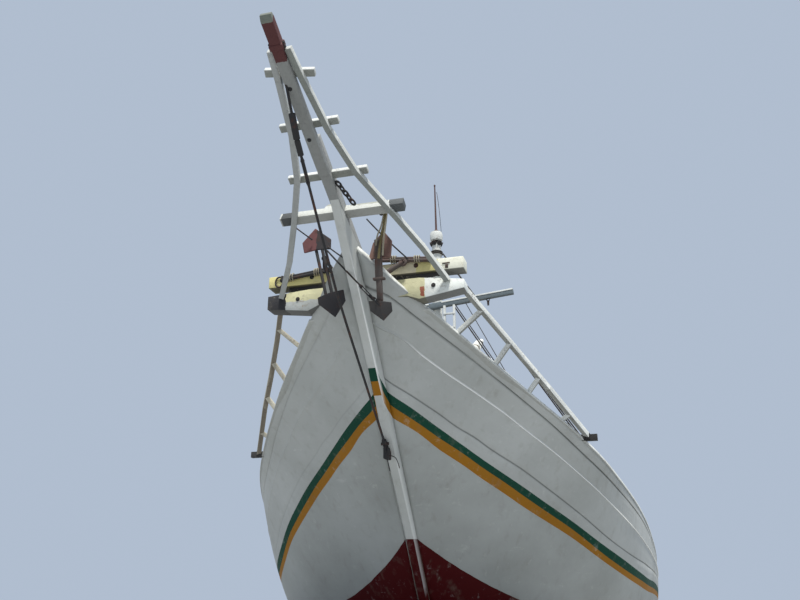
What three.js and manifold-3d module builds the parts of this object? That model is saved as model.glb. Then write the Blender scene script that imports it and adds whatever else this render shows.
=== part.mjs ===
// A traditional wooden cargo sailing boat of the pinisi type, afloat, at its real size in millimetres.
// +X is port, -Y is the bow and +Z is up. The origin is on the centreline at the waterline, amidships.
import * as THREE from "three";
import { mergeVertices } from "three/addons/utils/BufferGeometryUtils.js";
import Module from "manifold-3d";

const wasm = await Module();
wasm.setup();

// Driving dimensions

const SEAT = 0.3; // gap between pieces that touch
const SIDES = [
  { name: "port", side: 1 },
  { name: "starboard", side: -1 },
];

const STEM_HALF_SIDING = 120;
const STEM_RAKE = 0.851; // metres forward for each metre up, along the planks' ends
const STEM_FRONT_RAKE = 0.92; // the front face leans out further above its lowest part
const STEM_REF_Y = -11230; // a point on the stem's front face
const STEM_REF_Z = 1870;
const STEM_HEAD_Z = 6834; // where the front face meets the underside of the bowsprit
const STEM_PROUD = 80; // how far the stem stands out in front of the planks
const STEM_NOSE = 70; // half width of the stem's front face, bevelled back to its full width
const STEM_BEVEL = 130;
const STEM_MOULDED = 400;
const KEEL_TOP = -1700;
const KEEL_BOTTOM = -2050;
const BULWARK_HEIGHT = 900;
const PLANK = 110; // bulwark planks with their stanchions
const CAMBER = 0.03; // deck rise for each unit of half-breadth
const SKIN_STEPS = 7; // facets from the keel to the deck edge

const HEAD_STRIP = 15; // height of the planking where it runs out against the stem's head
const rabbetAt = (y) => STEM_REF_Z + (STEM_REF_Y + STEM_PROUD - y) / STEM_RAKE;

// Stations of the hull, from the stem to the transom.
// y, halfBreadth and sheer (top of the bulwark), bottom (rabbet on stem and keel), fullness of the section.
const STATIONS = [
  [-15000, 150, 6286, 0, 1.0],
  [-14700, 495, 5957, 0, 1.0],
  [-14400, 745, 5760, 0, 1.0],
  [-14050, 1040, 5555, 0, 1.0],
  [-13300, 1660, 5060, 0, 1.0],
  [-12700, 2160, 4650, 0, 1.0],
  [-12000, 2645, 4275, 0, 1.0],
  [-11200, 3145, 3890, 0, 1.05],
  [-10400, 3590, 3490, 0, 1.2],
  [-9600, 3900, 3130, 0, 1.5],
  [-8700, 4140, 2820, -780, 1.9],
  [-7500, 4310, 2560, -1500, 2.25],
  [-5500, 4440, 2280, KEEL_TOP, 2.45],
  [-2500, 4530, 2070, KEEL_TOP, 2.6],
  [500, 4550, 1980, KEEL_TOP, 2.7],
  [3500, 4520, 2000, KEEL_TOP, 2.6],
  [6000, 4440, 2110, -1620, 2.3],
  [8000, 4300, 2290, -1330, 2.0],
  [10000, 4080, 2560, -700, 1.7],
  [11500, 3850, 2820, -100, 1.55],
  [13000, 3550, 3130, 500, 1.5],
  [14300, 3230, 3430, 950, 1.5],
].map(([y, halfBreadth, sheer, bottom, fullness]) => ({
  y,
  halfBreadth,
  sheer,
  bottom: y < -9000 ? Math.min(rabbetAt(y), sheer - HEAD_STRIP) : bottom,
  fullness,
  rake: 0,
}));
const TRANSOM_RAKE = 0.25;
STATIONS[STATIONS.length - 1].rake = TRANSOM_RAKE;
const FIRST_DECKED = 5; // index of the first station behind the stem that has a deck
const CAP_START = -14100; // the rail caps begin here, behind the cat beams

const MAST_Y = -8700;

// Geometry helpers

function toSolid(geometry) {
  const g = geometry.clone();
  g.deleteAttribute("normal");
  g.deleteAttribute("uv");
  const merged = mergeVertices(g, 1e-3);
  return new wasm.Manifold(
    new wasm.Mesh({
      numProp: 3,
      vertProperties: new Float32Array(merged.attributes.position.array),
      triVerts: new Uint32Array(merged.index.array),
    }),
  );
}

function toGeometry(solid) {
  const made = solid.getMesh();
  const geometry = new THREE.BufferGeometry();
  geometry.setAttribute("position", new THREE.BufferAttribute(made.vertProperties, 3));
  geometry.setIndex(new THREE.BufferAttribute(made.triVerts, 1));
  return geometry.toNonIndexed();
}

const join = (...geometries) =>
  toGeometry(geometries.map(toSolid).reduce((a, b) => a.add(b)));

const cut = (geometry, ...tools) =>
  toGeometry(tools.map(toSolid).reduce((a, b) => a.subtract(b), toSolid(geometry)));

// Only the largest body of a shape that a cut has parted.
const largest = (geometry) => {
  const bodies = toSolid(geometry).decompose();
  return toGeometry(bodies.reduce((a, b) => (a.volume() > b.volume() ? a : b)));
};

// A box by its lowest and highest corners.
function block(low, high) {
  const size = high.map((v, i) => v - low[i]);
  const geometry = new THREE.BoxGeometry(...size);
  return geometry.translate(...low.map((v, i) => v + size[i] / 2));
}

// A straight squared timber between two points: width is level, depth is square to it.
function timber(start, end, width, depth, reach = 0) {
  const a = new THREE.Vector3(...start);
  const b = new THREE.Vector3(...end);
  const along = b.clone().sub(a);
  const length = along.length();
  const y = along.clone().normalize();
  const x = Math.abs(y.z) > 0.999 ? new THREE.Vector3(1, 0, 0) : y.clone().cross(new THREE.Vector3(0, 0, 1));
  x.normalize();
  const z = x.clone().cross(y);
  const geometry = new THREE.BoxGeometry(width, length + 2 * reach, depth);
  const middle = a.clone().add(b).multiplyScalar(0.5);
  return geometry.applyMatrix4(new THREE.Matrix4().makeBasis(x, y, z).setPosition(middle));
}

// A round bar between two points, tapering from one radius to the other.
function rod(start, end, radius, endRadius = radius, sides = 10) {
  const a = new THREE.Vector3(...start);
  const b = new THREE.Vector3(...end);
  const along = b.clone().sub(a);
  const geometry = new THREE.CylinderGeometry(endRadius, radius, along.length(), sides);
  const turn = new THREE.Quaternion().setFromUnitVectors(
    new THREE.Vector3(0, 1, 0),
    along.clone().normalize(),
  );
  return geometry.applyQuaternion(turn).translate(...a.add(b).multiplyScalar(0.5).toArray());
}

// An outline in the (y, z) plane, extruded across the boat between two x values.
function profile(outline, low, high) {
  const shape = new THREE.Shape(outline.map(([y, z]) => new THREE.Vector2(y, z)));
  const geometry = new THREE.ExtrudeGeometry(shape, { depth: high - low, bevelEnabled: false });
  const basis = new THREE.Matrix4().makeBasis(
    new THREE.Vector3(0, 1, 0),
    new THREE.Vector3(0, 0, 1),
    new THREE.Vector3(1, 0, 0),
  );
  return geometry.applyMatrix4(basis).translate(low, 0, 0);
}

// An outline in the (x, z) plane, extruded fore and aft between two y values.
function athwart(outline, low, high) {
  const shape = new THREE.Shape(outline.map(([x, z]) => new THREE.Vector2(x, z)));
  const geometry = new THREE.ExtrudeGeometry(shape, { depth: high - low, bevelEnabled: false });
  return geometry.rotateX(Math.PI / 2).translate(0, high, 0);
}

// A turned shape about an axis through a point, from (radius, height) pairs.
function turned(pairs, base, axis = [0, 0, 1], sides = 16) {
  const geometry = new THREE.LatheGeometry(pairs.map(([r, h]) => new THREE.Vector2(r, h)), sides);
  const turn = new THREE.Quaternion().setFromUnitVectors(
    new THREE.Vector3(0, 1, 0),
    new THREE.Vector3(...axis),
  );
  return geometry.applyQuaternion(turn).translate(...base);
}

// A closed solid through rings of points that all have the same count.
function loft(rings) {
  const count = rings[0].length;
  const positions = [];
  const face = (...points) => positions.push(...points.flat());
  for (let i = 0; i + 1 < rings.length; i++)
    for (let j = 0; j < count; j++) {
      const [a, b] = [rings[i][j], rings[i][(j + 1) % count]];
      const [c, d] = [rings[i + 1][j], rings[i + 1][(j + 1) % count]];
      face(a, b, d);
      face(a, d, c);
    }
  cap(rings[0], -1, face);
  cap(rings[rings.length - 1], 1, face);
  const geometry = new THREE.BufferGeometry();
  geometry.setAttribute("position", new THREE.Float32BufferAttribute(positions, 3));
  return facingOut(geometry);
}

// Closes a ring by a strip between its two halves, with it (way 1) or against it (way -1).
function cap(ring, way, face) {
  const last = ring.length - 1;
  for (let j = 0; j + 1 < last - j; j++) {
    const [a, b, c, d] = [ring[j], ring[j + 1], ring[last - j], ring[last - j - 1]];
    if (way > 0) face(a, b, c);
    else face(a, c, b);
    if (j + 1 === last - j - 1) continue;
    if (way > 0) face(b, d, c);
    else face(b, c, d);
  }
}

// Turns every face round where a closed shape has come out inside out.
function facingOut(geometry) {
  const p = geometry.attributes.position;
  const [a, b, c] = [new THREE.Vector3(), new THREE.Vector3(), new THREE.Vector3()];
  let volume = 0;
  for (let i = 0; i < p.count; i += 3) {
    a.fromBufferAttribute(p, i);
    b.fromBufferAttribute(p, i + 1);
    c.fromBufferAttribute(p, i + 2);
    volume += a.dot(b.cross(c));
  }
  if (volume > 0) return geometry;
  for (let i = 0; i < p.count; i += 3) {
    b.fromBufferAttribute(p, i + 1);
    c.fromBufferAttribute(p, i + 2);
    p.setXYZ(i + 1, c.x, c.y, c.z);
    p.setXYZ(i + 2, b.x, b.y, b.z);
  }
  return geometry;
}

// Colours and finishes

const paint = (color, roughness = 0.7, metalness = 0) =>
  new THREE.MeshStandardMaterial({ color, roughness, metalness });
const WHITE_PAINT = paint(0xc9cbc6);
const WEATHERED_WHITE = paint(0xbfc0b8, 0.85);
const YELLOW_PAINT = paint(0xc9b95a);
const DECK_WOOD = paint(0x8a7350, 0.9);
const GREEN_PAINT = paint(0x1f5c3a);
const RUSTY_IRON = paint(0x5b3626, 0.85, 0.4);
const DARK_IRON = paint(0x2c2c2e, 0.7, 0.5);
const RED_BOTTOM = paint(0x6b1f1c, 0.8);
const BRONZE = paint(0x8f6b3a, 0.4, 0.9);
const SAILCLOTH = paint(0xd8d5c8, 0.95);
const ROPE = paint(0x4a4338, 0.95);

const boat = new THREE.Group();

function add(name, geometry, material) {
  const mesh = new THREE.Mesh(geometry, material);
  mesh.name = name;
  boat.add(mesh);
}

// Hull form

const mix = (a, b, t) => a + (b - a) * t;

// Any column of the station table at a place along the boat.
function along(column, y) {
  const i = Math.max(1, STATIONS.findIndex((s) => s.y >= y));
  const [a, b] = [STATIONS[i - 1], STATIONS[i]];
  return mix(a[column], b[column], (y - a.y) / (b.y - a.y));
}
const deckEdge = (station) => Math.max(station.sheer - BULWARK_HEIGHT, station.bottom + 60);
const deckAt = (y) => along("sheer", y) - BULWARK_HEIGHT;

// A point on the outer planking. The angle runs from 0 at the keel to a right angle at the sheer.
function skinPoint(station, angle, inset = 0) {
  const { halfBreadth, sheer, bottom, fullness, rake, y } = station;
  const x = mix(STEM_HALF_SIDING, halfBreadth, Math.sin(angle) ** (2 / fullness)) - inset;
  const z = sheer - (sheer - bottom) * Math.cos(angle) ** (2 / fullness);
  return [x, y + rake * (z - bottom), z];
}
const angleAt = (station, z) =>
  Math.acos(((station.sheer - z) / (station.sheer - station.bottom)) ** (station.fullness / 2));

const mirror = ([x, y, z]) => [-x, y, z];
const onSide = (ring, side) => (side > 0 ? ring : ring.map(mirror));

function hullRing(station) {
  const top = angleAt(station, deckEdge(station));
  const half = [];
  for (let i = 0; i <= SKIN_STEPS; i++) half.push(skinPoint(station, (top * i) / SKIN_STEPS));
  const [x, y, z] = half[SKIN_STEPS];
  const waterway = Math.max(x - 260, x * 0.5);
  half.push([waterway, y, z]);
  const ring = [...half, [0, y, z + CAMBER * waterway]];
  return [...ring, ...half.map(mirror).reverse()];
}

const BULWARK_STEPS = 3;
const CAP = { inside: 80, outside: 12, thick: 60 };

// How wide the planking measures level across, where it leans out between two points of the skin.
const levelWidth = ([lowX, , lowZ], [topX, , topZ]) => PLANK * Math.hypot(1, (topX - lowX) / (topZ - lowZ));

// Angles of the skin at the foot and at the top of the bulwark, which ends under the rail cap.
function bulwarkAngles(station) {
  const capped = station.y > CAP_START ? CAP.thick : 0;
  const foot = station.y < STATIONS[FIRST_DECKED].y ? 0 : angleAt(station, deckEdge(station));
  return [foot, angleAt(station, station.sheer - capped)];
}

// The outline of one side's bulwark: up the outside, and down the inside.
function bulwarkRing(station, grow = 0) {
  const [foot, top] = bulwarkAngles(station);
  const wide = levelWidth(skinPoint(station, foot), skinPoint(station, top));
  const outer = [];
  const inner = [];
  for (let i = 0; i <= BULWARK_STEPS; i++) {
    const [x, y, z] = skinPoint(station, mix(foot, top, i / BULWARK_STEPS));
    const lift = i ? grow * (i === BULWARK_STEPS) : SEAT;
    outer.push([x + 3 * grow, y, z + lift]);
    inner.push([Math.max(x - wide, x / 2) - 3 * grow, y, z + lift]);
  }
  return [...outer, ...inner.reverse()];
}

// The line of the hull's bottom between two places, for what is fastened under it.
const bottomLine = (from, to) => [
  [from, along("bottom", from) - SEAT],
  ...STATIONS.filter((s) => s.y > from && s.y < to).map((s) => [s.y, s.bottom - SEAT]),
  [to, along("bottom", to) - SEAT],
];

// Bow platform

const HEAD_SLOPE = Math.atan(0.5);
const HEAD_Y = -16100; // third cross beam
const HEAD_Z = 7120;

// A block given by its corners across, forward and up on the sloping platform in front of the stem.
function headBlock(low, high, skew = 0) {
  const size = high.map((v, i) => v - low[i]);
  const middle = low.map((v, i) => v + size[i] / 2);
  const geometry = new THREE.BoxGeometry(...size).rotateZ(-skew);
  return onHead(geometry.translate(middle[0], -middle[1], middle[2]));
}

// Lays a shape, made level round the origin, on the platform.
const onHead = (geometry) => geometry.rotateX(-HEAD_SLOPE).translate(0, HEAD_Y, HEAD_Z);

const headProfile = (outline, low, high) =>
  onHead(profile(outline.map(([forward, up]) => [-forward, up]), low, high));

const RAIL_TOP = -30; // underside of the cross beams, on the platform
const SPRIT_HALF = 85;
// Cross beams: forward of the third one, half length, depth, width, how far the port end is skewed forward,
// and how deep the beam is let down over the rails.
const CROSS_BEAMS = [
  [1790, 370, 80, 120, -60, 0],
  [928, 470, 80, 120, 0, 0],
  [0, 660, 80, 130, 0, 0],
  [-749, 1060, 140, 160, 0, 40],
];
const CHOCK = { x: -192, radius: 100 }; // half-round chock on the last cross beam

const catY = -14310; // front face of the cat beams
const CAT_WIDTH = 300;
const CAT_HIGH = [6060, 6275]; // underside and top of the upper beam
const CAT_HALF = 1775;
// The lower beam is hewn thinner towards its ends and notched over the planking: x, underside and top.
const CAT_LOW = [
  [-1775, 5660, 5905],
  [-1000, 5560, 5965],
  [-800, 5650, 5965],
  [800, 5650, 5965],
  [1000, 5575, 5965],
  [1775, 5700, 5860],
];
const CAT_PACKING = { half: 1400, low: 5890 }; // packing let in between the two beams

function lowerCatBeam(grow = 0) {
  const outline = [
    ...CAT_LOW.map(([x, low]) => [x + Math.sign(x) * grow, low - grow]),
    ...CAT_LOW.map(([x, , high]) => [x + Math.sign(x) * grow, high + grow]).reverse(),
  ];
  return athwart(outline, catY - grow, catY + CAT_WIDTH + grow);
}

const stemLine = (z) => STEM_REF_Y - STEM_RAKE * (z - STEM_REF_Z);
const stemFront = (z) => (z > STEM_REF_Z ? STEM_REF_Y - STEM_FRONT_RAKE * (z - STEM_REF_Z) : stemLine(z));

function stemOutline(grow = 0) {
  return [
    [stemFront(STEM_HEAD_Z), STEM_HEAD_Z],
    [STEM_REF_Y, STEM_REF_Z],
    [stemFront(-300), -300],
    [-8870, -980],
    [-7600, -1830],
    [-7500, -2000],
    [-7500, along("bottom", -7500) - SEAT],
    [-8000, along("bottom", -8000) - SEAT + grow],
    [stemLine(96) + STEM_MOULDED + grow, 96 + grow],
    [stemLine(6187) + STEM_MOULDED + grow, 6187 + grow],
  ];
}
const stemCutter = () =>
  profile(stemOutline(1), -STEM_HALF_SIDING - SEAT, STEM_HALF_SIDING + SEAT);

// What is planed off one front edge of the stem.
const stemBevel = (side) =>
  loft(
    [-250, STEM_REF_Z, 7000].map((z) => {
      const front = stemFront(z);
      return [
        [STEM_NOSE * side, front, z],
        [(STEM_NOSE - 8) * side, front - 20, z],
        [3 * STEM_HALF_SIDING * side, front - 20, z],
        [STEM_HALF_SIDING * side, stemLine(z) + STEM_BEVEL, z],
      ];
    }),
  );

function bowTimbers() {
  const stem = profile(stemOutline(), -STEM_HALF_SIDING, STEM_HALF_SIDING);
  add("stem_post", cut(stem, lowerCatBeam(2 * SEAT), stemBevel(1), stemBevel(-1)), WHITE_PAINT);

  CROSS_BEAMS.forEach(([forward, half, depth, width, skew, sunk], i) => {
    const low = [-half, forward - width / 2, RAIL_TOP - sunk];
    const high = [half, forward + width / 2, RAIL_TOP - sunk + depth];
    const plain = headBlock(low, high, skew / half);
    add("cross_beam_" + (i + 1), sunk ? letDown(plain, forward, width, high[2]) : plain, WEATHERED_WHITE);
  });

  const outer = [
    [90, -165],
    [2650, -165],
    [2720, -120],
    [2720, -60],
    [2650, RAIL_TOP - SEAT],
    [90, RAIL_TOP - SEAT],
  ];
  const collar = headBlock([-SPRIT_HALF - 16, 2215, -181], [SPRIT_HALF + 16, 2295, -14]);
  add("bowsprit_outer", join(headProfile(outer, -SPRIT_HALF, SPRIT_HALF), collar), WEATHERED_WHITE);

  const inner = [
    [-2060, -120],
    [89, -120],
    [89, RAIL_TOP],
    [700, RAIL_TOP],
    [700, 80],
    [-2060, 80],
  ];
  const notches = CROSS_BEAMS.slice(2).map(([forward, half, , width, , sunk]) =>
    headBlock(
      [-half, forward - width / 2 - SEAT, RAIL_TOP - sunk - SEAT],
      [half, forward + width / 2 + SEAT, 200],
    ),
  );
  const heel = block([-500, catY - SEAT, 5000], [500, catY + 2000, 7000]);
  const timberInner = cut(headProfile(inner, -SPRIT_HALF, SPRIT_HALF), ...notches, heel);
  add("bowsprit_inner", timberInner, WEATHERED_WHITE);

  const [bottom, top] = CAT_HIGH;
  const upper = block([-CAT_HALF, catY, bottom], [CAT_HALF, catY + CAT_WIDTH, top]);
  add("cat_beam_upper", upper, YELLOW_PAINT);
  const packing = block(
    [-CAT_PACKING.half, catY + 60, CAT_PACKING.low],
    [CAT_PACKING.half, catY + CAT_WIDTH - 20, bottom - SEAT],
  );
  add("cat_beam_lower", join(lowerCatBeam(), packing), WEATHERED_WHITE);
}

// Head rails run from the bowsprit to the cat beams: across, forward and down from the platform.
const HEAD_RAIL = [
  [135, 2180, 0],
  [175, 1750, 0],
  [290, 850, 0],
  [480, 60, 0],
  [820, -749, 0],
  [880, -880, 0],
  [1190, -1566, 50],
  [1474, -2098, 253],
];
const RAIL_SIZE = 90;
// Side rails run from the cat beams to the bulwark: x, y, z.
const SIDE_RAIL = [
  [1640, catY + CAT_WIDTH + SEAT, 5900],
  [2020, -13300, 5450],
  [2420, -12620, 4970],
  [2820, -11980, 4490],
  [3420, -10900, 3745],
];
// Struts from the side rail in to the top of the bulwark: stretch of rail, and share of the way along it.
const STRUTS = [
  [0, 0.73],
  [1, 0.66],
  [2, 0.68],
  [3, 0.52],
];

function railPieces(points, size) {
  const pieces = [];
  for (let i = 0; i + 1 < points.length; i++) pieces.push(timber(points[i], points[i + 1], size, size, 12));
  return pieces;
}

// The bulwark and rail cap of one side, a little larger, to trim what is fastened to them.
const sideCutters = (side) => [
  loft(STATIONS.map((s) => onSide(bulwarkRing(s, 2 * SEAT), side))),
  loft(STATIONS.slice(1).map((s) => onSide(capRing(s, SEAT), side))),
];

// The last cross beam, halved over the rails, with its chock.
function letDown(beam, forward, width, top) {
  const ends = [width / 2, -width / 2].map((y) => [CHOCK.x, y - forward, top]);
  const rails = SIDES.map(({ side }) => headRail(side, RAIL_SIZE + 2 * SEAT));
  return cut(join(beam, onHead(rod(...ends, CHOCK.radius, CHOCK.radius, 16))), ...rails);
}

function headRail(side, size) {
  const middle = RAIL_TOP - SEAT - RAIL_SIZE / 2;
  const line = HEAD_RAIL.map(([x, forward, drop]) => [x * side, -forward, middle - drop]);
  const last = line.length - 2;
  return onHead(join(...line.slice(1).map((end, i) => timber(line[i], end, size, size, i === last ? 60 : 12))));
}

function bowRails() {
  const trim = block([-3000, catY - SEAT, 5000], [3000, catY + 2000, 7000]);
  for (const { name, side } of SIDES) {
    add("head_rail_" + name, cut(headRail(side, RAIL_SIZE), trim), WEATHERED_WHITE);

    const line = SIDE_RAIL.map(([x, y, z]) => [x * side, y, z]);
    const pieces = railPieces(line, RAIL_SIZE);
    for (const [stretch, share] of STRUTS) {
      const at = line[stretch].map((v, k) => mix(v, line[stretch + 1][k], share));
      const foot = [(along("halfBreadth", at[1]) - 40) * side, at[1], along("sheer", at[1])];
      pieces.push(timber(at, foot, 80, 80, 20));
    }
    const end = line[line.length - 1];
    pieces.push(block([end[0] - 160, end[1] - 40, end[2] - 60], [end[0] + 160, end[1] + 60, end[2] + 60]));
    const front = block([-3000, catY - 900, 5000], [3000, catY + CAT_WIDTH + SEAT, 7000]);
    const trimmed = cut(join(...pieces), ...sideCutters(side), front);
    add("side_rail_" + name, largest(trimmed), WEATHERED_WHITE);
  }
}

// Backbone, hull shell and bulwarks

const SHAFT_Z = -1150;
const APERTURE_FRONT = 10600;
const STERN_POST = [11900, 12150];
const RUDDER_Y = 12330;
const STOCK_RADIUS = 90;
const SHAFT_RADIUS = 45;
const PIN_RADIUS = 45;
const CLEAR = 6; // running clearance
const ENGINE_ROOM = [
  [-900, 5300, -700],
  [900, 8200, 4000],
];
const RUDDER_HEAD = 900;

function backbone() {
  const keel = [
    [-7500 + SEAT, -2000],
    [-6500, KEEL_BOTTOM],
    [12550, KEEL_BOTTOM],
    [12550, KEEL_BOTTOM + 200],
    [10900, KEEL_BOTTOM + 200],
    [APERTURE_FRONT, KEEL_TOP - SEAT],
    [-5500, KEEL_TOP - SEAT],
    [-7500 + SEAT, along("bottom", -7500) - SEAT],
  ];
  const pinHole = rod([0, RUDDER_Y, -1930], [0, RUDDER_Y, -1800], PIN_RADIUS + CLEAR, PIN_RADIUS + CLEAR, 20);
  add("keel", cut(profile(keel, -150, 150), pinHole), RED_BOTTOM);

  const skeg = [[3900, KEEL_TOP], ...bottomLine(3900, APERTURE_FRONT), [APERTURE_FRONT, KEEL_TOP]];
  const boss = rod([0, 10100, SHAFT_Z], [0, APERTURE_FRONT + 60, SHAFT_Z], 150, 120, 20);
  const bore = rod([0, 10200, SHAFT_Z], [0, 10800, SHAFT_Z], SHAFT_RADIUS + CLEAR, SHAFT_RADIUS + CLEAR, 20);
  add("deadwood", cut(join(profile(skeg, -120, 120), boss), bore), RED_BOTTOM);

  const [front, back] = STERN_POST;
  const foot = KEEL_BOTTOM + 200 + SEAT;
  const post = [[front, foot], ...bottomLine(front, back), [back, foot]];
  add("stern_post", profile(post, -120, 120), RED_BOTTOM);
}

function hullShell() {
  const body = loft(STATIONS.slice(FIRST_DECKED).map(hullRing));
  const stockBore = rod(
    [0, RUDDER_Y, -500],
    [0, RUDDER_Y, RUDDER_HEAD + SEAT],
    STOCK_RADIUS + CLEAR,
    STOCK_RADIUS + CLEAR,
    20,
  );
  return cut(body, stemCutter(), block(...ENGINE_ROOM), stockBore);
}

function capRing(station, grow = 0) {
  const [foot, top] = bulwarkAngles(station);
  const under = skinPoint(station, top);
  const [x, y, z] = skinPoint(station, Math.PI / 2);
  const inside = levelWidth(skinPoint(station, foot), under) + CAP.inside;
  return [
    [under[0] + CAP.outside + 4 * grow, under[1], under[2] + SEAT - grow],
    [x + CAP.outside + 4 * grow, y, z + grow],
    [x - inside - 4 * grow, y, z + grow],
    [x - inside - 4 * grow, under[1], under[2] + SEAT - grow],
  ];
}

function bulwarks() {
  const beam = lowerCatBeam(0.5);
  for (const { name, side } of SIDES) {
    const wall = loft(STATIONS.map((s) => onSide(bulwarkRing(s), side)));
    add("bulwark_" + name, cut(wall, stemCutter(), beam), WHITE_PAINT);
    const rail = loft(STATIONS.slice(1).map((s) => onSide(capRing(s), side)));
    const open = block([-4000, catY - SEAT, 5000], [4000, catY + CAT_WIDTH + SEAT, 7000]);
    const kept = cut(rail, block([-4000, -20000, 3000], [4000, catY + CAT_WIDTH + SEAT, 9000]));
    add("rail_cap_" + name, cut(kept, open), WHITE_PAINT);
  }
}

const TRANSOM_THICK = 110;

function transom() {
  const last = STATIONS[STATIONS.length - 1];
  const half = [];
  for (let i = 0; i <= SKIN_STEPS; i++) half.push(skinPoint(last, ((Math.PI / 2) * i) / SKIN_STEPS));
  const outline = [...half, ...half.map(mirror).reverse()];
  const ring = (offset) => outline.map(([px, py, pz]) => [px, py + offset, pz]);
  add("transom", loft([ring(SEAT), ring(TRANSOM_THICK)]), WHITE_PAINT);
}

// Anchors, lashed at the bow in front of the cat beams: x and z of the upper and of the lower point,
// and the radius of the arms.
const ANCHORS = {
  port: { upper: [490, 6610], lower: [500, 5060], arm: 52 },
  starboard: { upper: [-690, 6860], lower: [-300, 5220], arm: 34 },
};
const ANCHOR = { y: -14815, palmWide: 400, shoulder: 230, palmTall: 400, palmThick: 35 };
// The bobstay sags from the underside of the bowsprit to its eye on the stem.
const BOBSTAY = [
  [-60, -17690, 7760],
  [-57, -17214, 7105],
  [-51, -15464, 5419],
  [-50, -14867, 4964],
  [-50, -12700, 3410],
];
const STOCK_BAR = 30; // radius of the stock, which lies across the top of the cat beam

function anchor({ upper, lower, arm }, side) {
  const { y, palmWide, shoulder, palmTall, palmThick } = ANCHOR;
  const tall = upper[1] - lower[1];
  const lean = Math.atan2(upper[0] - lower[0], tall);
  const palm = (tip, way) => {
    const outline = [
      [0, tip],
      [palmWide / 2, tip - way * shoulder],
      [palmWide / 2, tip - way * palmTall],
      [-palmWide / 2, tip - way * palmTall],
      [-palmWide / 2, tip - way * shoulder],
    ];
    return athwart(outline, -palmThick, 0);
  };
  const reach = tall / Math.cos(lean) / 2;
  const arms = rod([0, 10, reach - 120], [0, 10, 120 - reach], arm, arm, 8);
  const flukes = join(palm(reach, 1), palm(-reach, -1), arms).rotateY(lean);
  const [x, z] = upper.map((v, i) => (v + lower[i]) / 2);
  flukes.translate(x, y, z);
  const bend = [x + side * 40, y + 60, CAT_HIGH[1] + arm + 12];
  const shankEnd = [x + side * 160, catY + CAT_WIDTH + 500, CAT_HIGH[1] + arm + 60];
  const shank = rod([x, y + 10, z], bend, arm, arm, 8);
  const run = rod([bend[0], bend[1], bend[2] - 5], shankEnd, arm, arm * 0.8, 8);
  const stockZ = CAT_HIGH[1] + STOCK_BAR + SEAT;
  const stockLine = [x - side * 250, x + side * 900].map((end) => [end, catY + CAT_WIDTH / 2, stockZ]);
  const stock = rod(...stockLine, STOCK_BAR, STOCK_BAR, 8);
  return join(flukes, shank, run, stock);
}

function anchors() {
  for (const { name, side } of SIDES)
    add("anchor_" + name, anchor(ANCHORS[name], side), side > 0 ? RUSTY_IRON : DARK_IRON);
  const underSprit = headBlock([-500, -500, -165 - SEAT], [500, 3000, 500]);
  const stay = BOBSTAY.slice(1).map((end, i) => rod(BOBSTAY[i], end, 22, 22, 8));
  const [x, y, z] = BOBSTAY[BOBSTAY.length - 1];
  const eye = block([x - 45, y - 60, z - 100], [x + 45, y + 240, z + 60]);
  const stem = profile(stemOutline(), -STEM_HALF_SIDING - SEAT, STEM_HALF_SIDING + SEAT);
  add("bobstay", cut(join(...stay, eye), stem.translate(0, -SEAT, 0), underSprit), DARK_IRON);
}

// Mast and boom

const MAST_RADIUS = [140, 110];
const MAST_TOP = 9150;
const DOME_TOP = 9500;
const POLE_TOP = 10820;
const CROSSTREE_Z = 7450;
const CROSSTREE_HALF = 1880;
const CROSSTREE_TILT = 0.095; // raised to port
const SHROUD_TOP = 8900;
const SHROUD_FEET = [-7500, -6500];
const BOOM_PIVOT = [0, MAST_Y, 4300];
const BOOM_RISE = Math.tan((35 * Math.PI) / 180);
const BOOM_REACH = 5900; // level distance from the mast to the boom's end

const MAST_FOOT = deckAt(MAST_Y) - 100;
const BOOM_RING = 120; // half the height of the ring that the boom swings on
const mastRadius = (z) => mix(...MAST_RADIUS, (z - MAST_FOOT) / (MAST_TOP - MAST_FOOT));

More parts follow.
